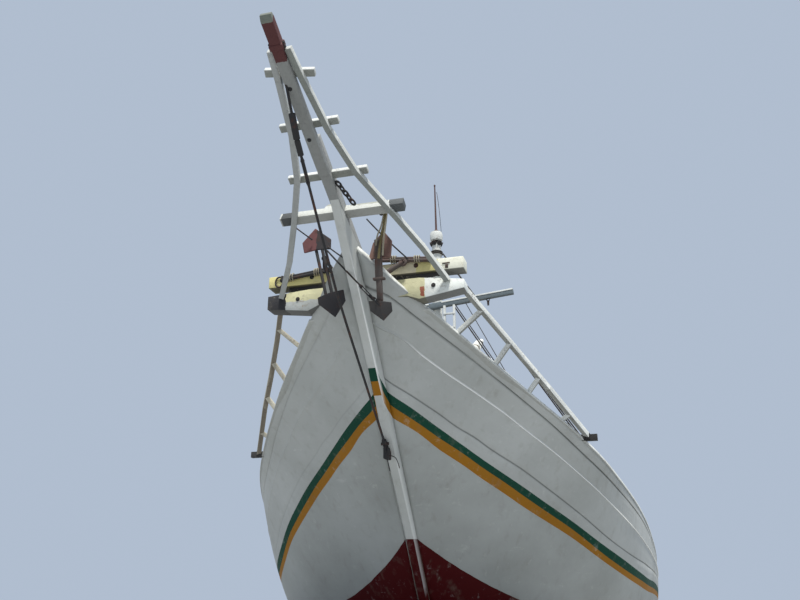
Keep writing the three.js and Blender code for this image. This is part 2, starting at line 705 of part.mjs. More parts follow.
function mastAndStays() {
  const foot = MAST_FOOT;
  const mast = rod([0, MAST_Y, foot], [0, MAST_Y, MAST_TOP], ...MAST_RADIUS, 20);
  const heel = block([-260, MAST_Y - 260, foot], [260, MAST_Y + 260, foot + 420]);
  const collar = rod([0, MAST_Y, SHROUD_TOP - 40], [0, MAST_Y, SHROUD_TOP + 40], 135, 135, 20);
  const shelfTop = BOOM_PIVOT[2] - BOOM_RING - SEAT;
  const shelf = rod([0, MAST_Y, shelfTop - 70], [0, MAST_Y, shelfTop], 160, 200, 20);
  add("foremast", seat(join(mast, heel, collar, shelf)), WEATHERED_WHITE);

  const spread = block([-CROSSTREE_HALF, -260, -65], [CROSSTREE_HALF, -150, 65]);
  const saddle = block([-90, -151, -65], [90, -60, 65]);
  const crosstree = join(spread, saddle).rotateY(-CROSSTREE_TILT).translate(0, MAST_Y, CROSSTREE_Z);
  const holeEnds = [CROSSTREE_Z - 400, CROSSTREE_Z + 400];
  const mastHole = rod(
    ...holeEnds.map((z) => [0, MAST_Y, z]),
    ...holeEnds.map((z) => mastRadius(z) + 2 * SEAT),
    20,
  );
  add("crosstree", cut(crosstree, mastHole), WEATHERED_WHITE);

  const dome = turned(
    [
      [0, 0],
      [150, 0],
      [155, 150],
      [135, 260],
      [80, 330],
      [0, 350],
    ],
    [0, MAST_Y, MAST_TOP + SEAT],
  );
  add("masthead_dome", dome, WHITE_PAINT);
  const pole = rod([0, MAST_Y, DOME_TOP + 2 * SEAT], [0, MAST_Y, POLE_TOP], 28, 22, 10);
  add("mast_pole", pole, RED_BOTTOM);

  for (const { name, side } of SIDES) {
    const pieces = SHROUD_FEET.map((y) => {
      const footZ = along("sheer", y) + 2 * SEAT + 40;
      const footPoint = [(along("halfBreadth", y) - 80) * side, y, footZ];
      const rope = rod([side * 150, MAST_Y + 40, SHROUD_TOP], footPoint, 20, 20, 8);
      const plate = block(
        footPoint.map((v, k) => v - [40, 90, 40][k]),
        footPoint.map((v, k) => v + [40, 90, 60][k]),
      );
      return join(rope, plate);
    });
    const hound = block(
      [side * 190 - 45, MAST_Y - 40, SHROUD_TOP - 80],
      [side * 190 + 45, MAST_Y + 120, SHROUD_TOP + 60],
    );
    const collarHole = rod([0, MAST_Y, SHROUD_TOP - 200], [0, MAST_Y, SHROUD_TOP + 200], 137, 137, 20);
    const lug = block(
      [side * 155 - 35, MAST_Y - 30, SHROUD_TOP - 30],
      [side * 155 + 35, MAST_Y + 30, SHROUD_TOP + 30],
    );
    add("shrouds_" + name, cut(join(...pieces, hound, lug), collarHole, ...sideCutters(side)), ROPE);
  }
}

const boomPoint = (reach, drop = 0) => [0, MAST_Y + reach, BOOM_PIVOT[2] + reach * BOOM_RISE - drop];

function boomAndSail() {
  const ringEnds = [-BOOM_RING, BOOM_RING].map((up) => [0, MAST_Y, BOOM_PIVOT[2] + up]);
  const ring = rod(...ringEnds, 220, 220, 20);
  const holeEnds = [-400, 400].map((up) => [0, MAST_Y, BOOM_PIVOT[2] + up]);
  const holeRadius = mastRadius(BOOM_PIVOT[2]) + CLEAR + 4;
  const hole = rod(...holeEnds, holeRadius, holeRadius, 20);
  const spar = rod(boomPoint(180), boomPoint(BOOM_REACH), 95, 75, 14);
  add("boom", cut(join(ring, spar), hole), WEATHERED_WHITE);
  const lift = 165;
  const roll = (reach, radius) => {
    const [x, y, z] = boomPoint(reach, -lift / Math.cos(Math.atan(BOOM_RISE)) + 10);
    return { at: [x, y, z], radius };
  };
  const rolls = [roll(500, 105), roll(1500, 140), roll(4200, 140), roll(5400, 110)];
  const rollPieces = [];
  for (let i = 0; i + 1 < rolls.length; i++)
    rollPieces.push(rod(rolls[i].at, rolls[i + 1].at, rolls[i].radius, rolls[i + 1].radius, 14));
  const sparCutter = rod(boomPoint(0), boomPoint(BOOM_REACH + 400), 97, 74, 14);
  add("furled_sail", cut(join(...rollPieces), sparCutter), SAILCLOTH);
}

// Seats a piece on the deck by cutting away what would stand in it.
function seat(geometry) {
  const below = STATIONS.slice(FIRST_DECKED).map((station) => {
    const [x, y, z] = skinPoint(station, angleAt(station, deckEdge(station)));
    const waterway = Math.max(x - 260, x * 0.5);
    const half = [
      [6000, y, KEEL_BOTTOM],
      [6000, y, z],
      [waterway, y, z],
    ];
    return [...half, [0, y, z + CAMBER * waterway], ...half.map(mirror).reverse()];
  });
  return cut(geometry, loft(below).translate(0, 0, SEAT));
}

// Deck gear

const HATCH = { half: 1500, front: -6300, back: -1400, wall: 90, high: 2150 };
const WINDLASS_Y = -11500;
const BARREL_RADIUS = 150;
const AXLE_RADIUS = 60;
// Mooring bitts: name, x, y.
const BITTS = [
  ["bitts_fore_port", 1450, -10500],
  ["bitts_fore_starboard", -1450, -10500],
  ["bitts_aft_port", 2300, 13500],
  ["bitts_aft_starboard", -2300, 13500],
];

function deckGear() {
  const { half, front, back, wall, high } = HATCH;
  const outside = block([-half, front, 600], [half, back, high]);
  const inside = block([-half + wall, front + wall, 500], [half - wall, back - wall, high + 100]);
  add("hatch_coaming", seat(cut(outside, inside)), WHITE_PAINT);
  const boards = block([-half - 40, front - 40, high + SEAT], [half + 40, back + 40, high + 70]);
  const battens = [0.2, 0.5, 0.8].map((share) => {
    const y = mix(front, back, share);
    return block([-half - 40, y - 50, high + 60], [half + 40, y + 50, high + 110]);
  });
  add("hatch_cover", join(boards, ...battens), DECK_WOOD);

  const deck = deckAt(WINDLASS_Y);
  const axis = deck + 620;
  const posts = [-1, 1].map((side) =>
    block([side * 620 - 110, WINDLASS_Y - 150, deck - 100], [side * 620 + 110, WINDLASS_Y + 150, deck + 950]),
  );
  const tie = block([-730, WINDLASS_Y - 60, deck + 60], [730, WINDLASS_Y + 60, deck + 200]);
  const hole = rod([-900, WINDLASS_Y, axis], [900, WINDLASS_Y, axis], AXLE_RADIUS + 1, AXLE_RADIUS + 1, 24);
  add("windlass_bitts", seat(cut(join(...posts, tie), hole)), WEATHERED_WHITE);
  const barrel = rod([-500, WINDLASS_Y, axis], [500, WINDLASS_Y, axis], BARREL_RADIUS, BARREL_RADIUS, 20);
  const axle = rod([-1000, WINDLASS_Y, axis], [1000, WINDLASS_Y, axis], AXLE_RADIUS, AXLE_RADIUS, 24);
  const heads = [-1, 1].map((side) =>
    rod([side * 740, WINDLASS_Y, axis], [side * 1000, WINDLASS_Y, axis], 120, 170, 20),
  );
  add("windlass_barrel", join(barrel, axle, ...heads), DECK_WOOD);

  for (const [name, x, y] of BITTS) {
    const base = deckAt(y);
    const uprights = [-1, 1].map((way) =>
      block([x - 90, y + way * 260 - 90, base - 100], [x + 90, y + way * 260 + 90, base + 620]),
    );
    const cross = block([x - 60, y - 480, base + 330], [x + 60, y + 480, base + 450]);
    add(name, seat(join(...uprights, cross)), WEATHERED_WHITE);
  }
}

// Deckhouse and wheelhouse

const HOUSE = { half: 2600, front: 5000, back: 12300, top: 3900, wall: 60 };
const ROOF = { half: 3050, front: 4600, back: 13000, thick: 110 };
const ROOF_TOP = HOUSE.top + SEAT + ROOF.thick;
const WHEELHOUSE = { half: 1600, front: 5500, back: 8300, top: ROOF_TOP + 2050, wall: 60 };
const WHEELHOUSE_ROOF = { half: 1850, front: 5150, back: 8600, thick: 90 };

const DOOR = { thick: 40, gap: 8, pin: 12, knuckle: 26, out: 45 };
// Side doors: name, side, wall, hinge edge y, way to the lock edge, sill and head.
const doorRows = SIDES.flatMap(({ name, side }) => [
  ["deckhouse_door_" + name, side, HOUSE, 6200, 1, 1700, 3550],
  ["wheelhouse_door_" + name, side, WHEELHOUSE, 8000, -1, ROOF_TOP + 120, ROOF_TOP + 1900],
]);
const DOOR_WIDTH = 720;

// Windows of each house: wall, centre along it, width, sill and head. The wall is front, back or side.
const HOUSE_WINDOWS = [
  ["front", -1500, 800, 2500, 3250],
  ["front", 0, 800, 2500, 3250],
  ["front", 1500, 800, 2500, 3250],
  ["side", 8300, 800, 2650, 3300],
  ["side", 9700, 800, 2650, 3300],
  ["side", 11100, 800, 2650, 3300],
  ["back", -1300, 800, 2900, 3450],
  ["back", 1300, 800, 2900, 3450],
];
const WHEELHOUSE_WINDOWS = [
  ["front", -1020, 860, ROOF_TOP + 1000, ROOF_TOP + 1800],
  ["front", 0, 860, ROOF_TOP + 1000, ROOF_TOP + 1800],
  ["front", 1020, 860, ROOF_TOP + 1000, ROOF_TOP + 1800],
  ["side", 6300, 900, ROOF_TOP + 1000, ROOF_TOP + 1800],
  ["back", 0, 900, ROOF_TOP + 1000, ROOF_TOP + 1800],
];

function windowHole([wall, centre, width, sill, top], house) {
  const deep = 300;
  const across = house.half + deep;
  if (wall === "side")
    return block([-across, centre - width / 2, sill], [across, centre + width / 2, top]);
  const y = wall === "front" ? house.front : house.back;
  return block([centre - width / 2, y - deep, sill], [centre + width / 2, y + deep, top]);
}

// The pin brackets that a side door hangs on, and the straps and knuckles on the door.
function doorHinges([, side, house, hingeY, way, sill, top]) {
  const x = side * (house.half + DOOR.out);
  const heights = [sill + 250, top - 300];
  const brackets = heights.map((z) => {
    const foot = block(
      [Math.min(side * (house.half - 20), x + side * 14), hingeY - way * 60 - 40, z - 60],
      [Math.max(side * (house.half - 20), x + side * 14), hingeY - way * 60 + 40, z - 30],
    );
    const arm = rod([x, hingeY, z - 60], [x, hingeY, z - 30], DOOR.knuckle, DOOR.knuckle, 16);
    const tie = block(
      [x - 14, Math.min(hingeY, hingeY - way * 60), z - 60],
      [x + 14, Math.max(hingeY, hingeY - way * 60), z - 30],
    );
    const pin = rod([x, hingeY, z - 40], [x, hingeY, z + 70], DOOR.pin, DOOR.pin, 16);
    return join(foot, arm, tie, pin);
  });
  const straps = heights.map((z) => {
    const knuckle = rod([x, hingeY, z - 30 + SEAT], [x, hingeY, z + 50], DOOR.knuckle, DOOR.knuckle, 16);
    const leafX = side * house.half;
    const strap = block(
      [Math.min(leafX - side * 10, x + side * 5), Math.min(hingeY, hingeY + way * 300), z - 10],
      [Math.max(leafX - side * 10, x + side * 5), Math.max(hingeY, hingeY + way * 300), z + 40],
    );
    const hole = rod([x, hingeY, z - 100], [x, hingeY, z + 100], DOOR.pin + 1, DOOR.pin + 1, 16);
    return cut(join(knuckle, strap), hole);
  });
  return { brackets, straps };
}

function doorLeaf([, side, house, hingeY, way, sill, top]) {
  const outer = side * house.half;
  const inner = side * (house.half - DOOR.thick);
  const near = hingeY + way * DOOR.gap;
  const far = hingeY + way * (DOOR_WIDTH - DOOR.gap);
  return block(
    [Math.min(outer, inner), Math.min(near, far), sill + DOOR.gap],
    [Math.max(outer, inner), Math.max(near, far), top - DOOR.gap],
  );
}

function doorHole([, side, house, hingeY, way, sill, top]) {
  const far = hingeY + way * DOOR_WIDTH;
  return block(
    [Math.min(side * (house.half - 200), side * (house.half + 200)), Math.min(hingeY, far), sill],
    [Math.max(side * (house.half - 200), side * (house.half + 200)), Math.max(hingeY, far), top],
  );
}

function houseWalls(house, bottom, windows) {
  const { half, front, back, top, wall } = house;
  const outside = block([-half, front, bottom], [half, back, top]);
  const inside = block([-half + wall, front + wall, bottom - 10], [half - wall, back - wall, top + 10]);
  const rows = doorRows.filter((row) => row[2] === house);
  const holes = [...windows.map((row) => windowHole(row, house)), ...rows.map(doorHole)];
  const walls = cut(outside, inside, ...holes);
  return join(walls, ...rows.flatMap((row) => doorHinges(row).brackets));
}

function houses() {
  add("deckhouse_walls", seat(houseWalls(HOUSE, 900, HOUSE_WINDOWS)), WHITE_PAINT);
  const roof = block([-ROOF.half, ROOF.front, HOUSE.top + SEAT], [ROOF.half, ROOF.back, ROOF_TOP]);
  add("deckhouse_roof", roof, GREEN_PAINT);
  add("wheelhouse_walls", houseWalls(WHEELHOUSE, ROOF_TOP + SEAT, WHEELHOUSE_WINDOWS), WHITE_PAINT);
  const { half, front, back, thick } = WHEELHOUSE_ROOF;
  const low = WHEELHOUSE.top + SEAT;
  add("wheelhouse_roof", block([-half, front, low], [half, back, low + thick]), GREEN_PAINT);
  for (const row of doorRows) {
    add(row[0], join(doorLeaf(row), ...doorHinges(row).straps), DECK_WOOD);
  }
}

const RAILING = { half: 2950, front: 9000, back: 12900, high: 900, post: 60 };

function upperDeck() {
  const { half, front, back, high, post } = RAILING;
  const base = ROOF_TOP + SEAT;
  const places = [];
  for (const side of [-1, 1])
    for (let i = 0; i <= 3; i++) places.push([side * half, mix(front, back, i / 3)]);
  for (const x of [-1500, 0, 1500]) places.push([x, back]);
  const posts = places.map(([x, y]) =>
    block([x - post / 2, y - post / 2, base], [x + post / 2, y + post / 2, base + high - 20]),
  );
  const rails = [0.5, 1].flatMap((share) => {
    const z = base + high * share;
    const size = 35;
    const sideRails = [-1, 1].map((side) =>
      block([side * half - size, front - size, z - 50], [side * half + size, back + size, z]),
    );
    return [...sideRails, block([-half, back - size + 4, z - 46], [half, back + size - 4, z - 4])];
  });
  add("deck_railing", join(...posts, ...rails), WHITE_PAINT);

  const stack = turned(
    [
      [150, 0],
      [260, 0],
      [260, 40],
      [190, 60],
      [190, 2200],
      [210, 2260],
      [150, 2260],
      [150, 0],
    ],
    [0, 9300, base],
    [0, 0, 1],
    20,
  );
  add("exhaust_stack", stack, DARK_IRON);
}

// Steering, engine and propeller

const HELM = { y: 6000, z: ROOF_TOP + 1050, radius: 430, rim: 26 };

function helm() {
  const base = ROOF_TOP + SEAT;
  const pedestal = block([-130, HELM.y - 320, base], [130, HELM.y - 120, HELM.z + 150]);
  const bore = rod([0, HELM.y - 420, HELM.z], [0, HELM.y, HELM.z], 26, 26, 16).translate(0, 120, 0);
  add("helm_stand", cut(pedestal, bore), DECK_WOOD);
  const rim = new THREE.TorusGeometry(HELM.radius, HELM.rim, 8, 32).rotateX(Math.PI / 2);
  const wheel = [rim.translate(0, HELM.y, HELM.z)];
  for (let i = 0; i < 4; i++) {
    const angle = (i * Math.PI) / 4 + Math.PI / 8;
    const out = HELM.radius + 130;
    const [dx, dz] = [Math.cos(angle) * out, Math.sin(angle) * out];
    wheel.push(rod([-dx, HELM.y, HELM.z - dz], [dx, HELM.y, HELM.z + dz], 16, 16, 8));
  }
  wheel.push(rod([0, HELM.y - 50, HELM.z], [0, HELM.y + 50, HELM.z], 85, 85, 16));
  wheel.push(rod([0, HELM.y - 299.5, HELM.z], [0, HELM.y, HELM.z], 25, 25, 16));
  add("helm_wheel", join(...wheel), DECK_WOOD);
}

const PROPELLER = { y: 11150, radius: 560, hub: 110, blades: 4, chord: 330, thick: 30, pitch: 32 };

function machinery() {
  const [low] = ENGINE_ROOM;
  const floor = low[2] + SEAT;
  const main = block([-450, 5500, floor], [450, 7600, floor + 1150]);
  add("engine", main, DARK_IRON);

  const { y, radius, hub, blades, chord, thick, pitch } = PROPELLER;
  const pieces = [rod([0, y - 110, SHAFT_Z], [0, y + 110, SHAFT_Z], hub, hub * 0.75, 16)];
  pieces.push(rod([0, y + 100, SHAFT_Z], [0, y + 240, SHAFT_Z], 75, 20, 16));
  for (let i = 0; i < blades; i++) {
    const outline = new THREE.Shape();
    outline.moveTo(-chord * 0.25, 40);
    outline.quadraticCurveTo(-chord * 0.7, radius * 0.6, -chord * 0.25, radius * 0.93);
    outline.quadraticCurveTo(0, radius, chord * 0.25, radius * 0.93);
    outline.quadraticCurveTo(chord * 0.7, radius * 0.6, chord * 0.25, 40);
    const blade = new THREE.ExtrudeGeometry(outline, { depth: thick, bevelEnabled: false, curveSegments: 6 });
    blade.translate(0, 0, -thick / 2).rotateY((pitch * Math.PI) / 180);
    blade.applyMatrix4(
      new THREE.Matrix4().makeBasis(
        new THREE.Vector3(1, 0, 0),
        new THREE.Vector3(0, 0, 1),
        new THREE.Vector3(0, -1, 0),
      ),
    );
    blade.rotateY((i * 2 * Math.PI) / blades + Math.PI / 4).translate(0, y, SHAFT_Z);
    pieces.push(blade);
  }
  add("propeller", join(...pieces), BRONZE);
  const shaft = rod([0, 10200.5, SHAFT_Z], [0, y - 110 - SEAT, SHAFT_Z], SHAFT_RADIUS, SHAFT_RADIUS, 20);
  add("propeller_shaft", shaft, BRONZE);

  const stock = rod([0, RUDDER_Y, -1930 + SEAT], [0, RUDDER_Y, RUDDER_HEAD], PIN_RADIUS, PIN_RADIUS, 20);
  const thickStock = rod([0, RUDDER_Y, -1790], [0, RUDDER_Y, RUDDER_HEAD], STOCK_RADIUS, STOCK_RADIUS, 20);
  const blade = [
    [RUDDER_Y, -1790],
    [13450, -1790],
    [13550, -1600],
    [13350, 60],
    [RUDDER_Y, 60],
  ];
  add("rudder", join(stock, thickStock, profile(blade, -60, 60)), RED_BOTTOM);
}

backbone();
add("hull", hullShell(), WHITE_PAINT);
bulwarks();
transom();
bowTimbers();
bowRails();
anchors();
mastAndStays();
boomAndSail();
deckGear();
houses();
upperDeck();
helm();
machinery();

export default boat;
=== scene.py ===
from math import atan, cos, pi, radians, sin

import bmesh
import bpy
from mathutils import Matrix, Vector, noise


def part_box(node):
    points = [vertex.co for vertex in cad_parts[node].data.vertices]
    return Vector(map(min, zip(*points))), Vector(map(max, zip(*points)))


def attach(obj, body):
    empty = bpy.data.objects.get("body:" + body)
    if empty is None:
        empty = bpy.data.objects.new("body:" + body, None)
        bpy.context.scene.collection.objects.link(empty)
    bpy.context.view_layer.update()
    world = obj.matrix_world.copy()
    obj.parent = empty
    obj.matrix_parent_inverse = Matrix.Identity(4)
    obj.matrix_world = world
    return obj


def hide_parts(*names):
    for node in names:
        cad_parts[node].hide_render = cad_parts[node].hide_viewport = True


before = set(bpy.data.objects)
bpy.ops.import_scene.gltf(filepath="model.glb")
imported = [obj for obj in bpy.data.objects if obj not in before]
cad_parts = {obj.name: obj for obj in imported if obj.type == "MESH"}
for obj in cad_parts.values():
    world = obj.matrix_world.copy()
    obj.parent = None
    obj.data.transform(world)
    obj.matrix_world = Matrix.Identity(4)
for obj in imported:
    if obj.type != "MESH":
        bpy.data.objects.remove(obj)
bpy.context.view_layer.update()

# Camera: a long way below the bow, close to the water

CAMERA_PLACE = Vector((4.2, -26.63, 0.8))
CAMERA_PITCH = radians(20.5)
CAMERA_TURN = radians(16.0)
LENS = 36.495
SENSOR = 36.0
camera_data = bpy.data.cameras.new("camera")
camera_data.sensor_width = SENSOR
camera_data.lens = LENS
camera_data.clip_start = 0.1
camera_data.clip_end = 500.0
camera = bpy.data.objects.new("camera", camera_data)
level = cos(CAMERA_PITCH)
look = Vector((-sin(CAMERA_TURN) * level, cos(CAMERA_TURN) * level, sin(CAMERA_PITCH)))
camera.location = CAMERA_PLACE
camera.rotation_mode = "QUATERNION"
camera.rotation_quaternion = look.to_track_quat("-Z", "Y")
bpy.context.scene.collection.objects.link(camera)
bpy.context.scene.camera = camera
bpy.context.scene.view_settings.view_transform = "Standard"

# Sizes shared with the part

STEM_HALF = 0.120
STEM_NOSE = 0.07
STEM_PEAK = 0.30  # how much higher the painted bands stand on the stem's front than at its sides
PLANK = 0.11
CORE_INSET = 0.08
CAP_THICK = 0.06
TRANSOM_Y = 14.3
TRANSOM_RAKE = 0.25
MAST_Y = -8.7
CAT_Y = -14.31
ROOF_TOP = 4.0103

# Stations of the hull: y, half breadth, sheer, bottom of the planking, fullness of the section.
STATIONS = (
    (-15.02, 0.120, 6.310, 6.300, 1.0),
    (-14.70, 0.490, 5.970, 5.955, 1.0),
    (-14.40, 0.745, 5.760, 5.650, 1.0),
    (-14.05, 1.040, 5.555, 5.255, 1.0),
    (-13.30, 1.660, 5.060, 4.396, 1.0),
    (-12.70, 2.160, 4.650, 3.691, 1.0),
    (-12.00, 2.645, 4.275, 2.869, 1.0),
    (-11.20, 3.145, 3.890, 1.929, 1.05),
    (-10.40, 3.590, 3.490, 0.989, 1.2),
    (-9.60, 3.900, 3.130, 0.049, 1.5),
    (-8.70, 4.140, 2.820, -0.780, 1.9),
    (-7.50, 4.310, 2.560, -1.500, 2.25),
    (-5.50, 4.440, 2.280, -1.700, 2.45),
    (-2.50, 4.530, 2.070, -1.700, 2.6),
    (0.50, 4.550, 1.980, -1.700, 2.7),
    (3.50, 4.520, 2.000, -1.700, 2.6),
    (6.00, 4.440, 2.110, -1.620, 2.3),
    (8.00, 4.300, 2.290, -1.330, 2.0),
    (10.00, 4.080, 2.560, -0.700, 1.7),
    (11.50, 3.850, 2.820, -0.100, 1.55),
    (13.00, 3.550, 3.130, 0.500, 1.5),
    (14.30, 3.230, 3.430, 0.950, 1.5),
)

# Lines that run along the hull from the stem to the transom: y, share of the height from keel to sheer.
RED_TOP = (
    (-11.18, 0.0), (-10.90, 0.055), (-10.56, 0.112), (-10.18, 0.164), (-9.82, 0.208), (-9.00, 0.31),
    (-8.0, 0.425), (-5.5, 0.515), (0.0, 0.55), (6.0, 0.54), (10.0, 0.41), (14.3, 0.14),
)
YELLOW_LOW = (
    (-12.88, 0.0), (-12.62, 0.137), (-12.14, 0.287), (-11.80, 0.372), (-11.42, 0.435), (-11.06, 0.481),
    (-10.68, 0.513), (-10.00, 0.555), (-9.10, 0.578), (-7.5, 0.64), (-5.5, 0.68), (0.0, 0.69),
    (6.0, 0.68), (14.3, 0.53),
)
YELLOW_TOP = (
    (-13.06, 0.0), (-12.74, 0.163), (-12.30, 0.316), (-11.96, 0.405), (-11.58, 0.470), (-11.20, 0.520),
    (-10.82, 0.551), (-10.10, 0.588), (-9.16, 0.605), (-7.5, 0.67), (-5.5, 0.71), (0.0, 0.72),
    (6.0, 0.71), (14.3, 0.58),
)
GREEN_TOP = (
    (-13.22, 0.0), (-12.92, 0.165), (-12.50, 0.318), (-12.06, 0.429), (-11.68, 0.495), (-11.30, 0.545),
    (-10.92, 0.580), (-10.42, 0.607), (-9.28, 0.638), (-7.5, 0.70), (-5.5, 0.745), (0.0, 0.755),
    (6.0, 0.75), (14.3, 0.63),
)
LOW_SEAM = (
    (-13.39, 0.0), (-13.06, 0.203), (-12.70, 0.354), (-12.30, 0.462), (-12.06, 0.522), (-11.74, 0.570),
    (-11.24, 0.632), (-10.70, 0.661), (-10.06, 0.674), (-9.38, 0.679), (-7.5, 0.76), (-5.5, 0.805),
    (0.0, 0.81), (6.0, 0.80), (14.3, 0.70),
)
RIDGE = (
    (-14.10, 0.0), (-13.80, 0.34), (-13.44, 0.492), (-13.08, 0.605), (-12.78, 0.680), (-12.48, 0.733),
    (-12.20, 0.769), (-11.64, 0.805), (-11.06, 0.826), (-10.28, 0.830), (-9.26, 0.830), (-8.0, 0.85),
    (-5.5, 0.88), (0.0, 0.875), (6.0, 0.87), (14.3, 0.80),
)
SHEER_SEAM = (
    (-14.55, 0.0), (-14.40, 0.45), (-14.22, 0.62), (-14.00, 0.705), (-13.56, 0.815), (-13.16, 0.872),
    (-12.60, 0.91), (-11.82, 0.932), (-10.48, 0.927), (-9.32, 0.935), (-8.2, 0.952), (-5.5, 0.962),
    (0.0, 0.962), (6.0, 0.955), (14.3, 0.93),
)
# How much higher the starboard lines run over the shoulder of the bow: y, share.
STARBOARD_LIFT = (
    (-13.1, 0.0), (-12.7, 0.030), (-11.9, 0.052), (-10.5, 0.052), (-10.0, 0.036), (-9.3, 0.010),
    (-8.8, 0.0),
)
# How much of that lift each line takes, from the bottom paint up.
LIFTS = (0.0, 1.0, 0.85, 0.9, 0.8, 0.5, 0.0)

SIDES = (("port", 1), ("starboard", -1))

# Bow platform in front of the stem
HEAD_SLOPE = atan(0.5)
HEAD_Y = -16.1
HEAD_Z = 7.12


def head_point(across, forward, up):
    """A place on the sloping bow platform."""
    y = -forward * cos(HEAD_SLOPE) + up * sin(HEAD_SLOPE)
    z = forward * sin(HEAD_SLOPE) + up * cos(HEAD_SLOPE)
    return Vector((across, HEAD_Y + y, HEAD_Z + z))


# Materials

def surface(finish):
    return finish.node_tree.nodes["Principled BSDF"]


def new_finish(name, rough):
    finish = bpy.data.materials.new(name)
    finish.use_nodes = True
    surface(finish).inputs["Roughness"].default_value = rough
    return finish


def shader_node(finish, kind, **settings):
    """A node with its own settings, such as its operation."""
    made = finish.node_tree.nodes.new("ShaderNode" + kind)
    for name, value in settings.items():
        setattr(made, name, value)
    return made


def wire(finish, source, target):
    finish.node_tree.links.new(source, target)


def coloured(finish, colour):
    wire(finish, colour, surface(finish).inputs["Base Color"])


def place_pattern(finish, scale=(1.0, 1.0, 1.0), turn=(0.0, 0.0, 0.0), seam_map=None):
    """Coordinates of a pattern: the object's own metres, or the piece's UV map."""
    if seam_map:
        source = shader_node(finish, "UVMap", uv_map=seam_map).outputs["UV"]
    else:
        source = shader_node(finish, "TexCoord").outputs["Object"]
    mapping = shader_node(finish, "Mapping")
    mapping.inputs["Rotation"].default_value = turn
    mapping.inputs["Scale"].default_value = scale
    wire(finish, source, mapping.inputs["Vector"])
    return mapping.outputs["Vector"]


def cloud(finish, where, scale, detail, rough=0.55, low=0.35, high=0.65):
    """Soft patches, from 0 at the low value of the noise to 1 at the high one."""
    texture = shader_node(finish, "TexNoise")
    texture.inputs["Scale"].default_value = scale
    texture.inputs["Detail"].default_value = detail
    texture.inputs["Roughness"].default_value = rough
    wire(finish, where, texture.inputs["Vector"])
    ramp = shader_node(finish, "MapRange")
    ramp.inputs["From Min"].default_value = low
    ramp.inputs["From Max"].default_value = high
    wire(finish, texture.outputs["Fac"], ramp.inputs["Value"])
    return ramp.outputs["Result"]


def blended(finish, share, first, second, kind="MIX", strength=1.0):
    """A colour between two, each a colour or another node's output."""
    mix = shader_node(finish, "Mix", data_type="RGBA", blend_type=kind)
    if isinstance(share, float):
        mix.inputs[0].default_value = share
    elif strength == 1.0:
        wire(finish, share, mix.inputs[0])
    else:
        weaker = calculated(finish, "MULTIPLY", share, strength)
        wire(finish, weaker, mix.inputs[0])
    for socket, value in ((mix.inputs[6], first), (mix.inputs[7], second)):
        if isinstance(value, tuple):
            socket.default_value = (*value, 1.0)
        else:
            wire(finish, value, socket)
    return mix.outputs[2]


def calculated(finish, operation, first, second=None):
    """Arithmetic on two values, each a number or another node's output."""
    node = shader_node(finish, "Math", operation=operation)
    for socket, value in zip(node.inputs, (first, second)):
        if value is None:
            continue
        if isinstance(value, float):
            socket.default_value = value
        else:
            wire(finish, value, socket)
    return node.outputs["Value"]


def roughened(finish, height, distance, strength=0.6):
    """Fine relief: distance is its depth in metres."""
    bump = shader_node(finish, "Bump")
    bump.inputs["Strength"].default_value = strength
    bump.inputs["Distance"].default_value = distance
    wire(finish, height, bump.inputs["Height"])
    wire(finish, bump.outputs["Normal"], surface(finish).inputs["Normal"])


def facing(finish, axis):
    """How far the surface faces along an axis of the object, from -1 to 1."""
    shape = shader_node(finish, "NewGeometry")
    split = shader_node(finish, "SeparateXYZ")
    wire(finish, shape.outputs["Normal"], split.inputs["Vector"])
    return split.outputs[axis]


BRUSH_SWAY = 0.08  # metres that a painted edge wanders


def painted_bands(finish, where, tone, bands):
    """Paints parts of a piece: each band is a colour and its limits as (axis, low, high)."""
    unsteady = calculated(finish, "SUBTRACT", cloud(finish, where, 9.0, detail=3.0, low=0.0, high=1.0), 0.5)
    wobble = calculated(finish, "MULTIPLY", unsteady, BRUSH_SWAY)
    split = shader_node(finish, "SeparateXYZ")
    wire(finish, where, split.inputs["Vector"])
    for colour, *limits in bands:
        share = None
        for axis, low, high in limits:
            place = calculated(finish, "ADD", split.outputs[axis], wobble)
            above = calculated(finish, "GREATER_THAN", place, low)
            inside = calculated(finish, "MULTIPLY", above, calculated(finish, "LESS_THAN", place, high))
            share = inside if share is None else calculated(finish, "MULTIPLY", share, inside)
        tone = blended(finish, share, tone, colour)
    return tone


def shaded_and_grimed_below(finish, tone, underside_shade_and_grime):
    """Algae and dirt on the faces that look down, with painted shade: those faces are darkened towards one
    colour.
    """
    down = shader_node(finish, "MapRange")
    down.inputs["From Min"].default_value = -0.25
    down.inputs["From Max"].default_value = -0.85
    wire(finish, facing(finish, "Z"), down.inputs["Value"])
    return blended(finish, down.outputs["Result"], tone, underside_shade_and_grime, strength=0.85)


DIRT = (0.12, 0.11, 0.09)
RUST_RUN = (0.17, 0.055, 0.02)


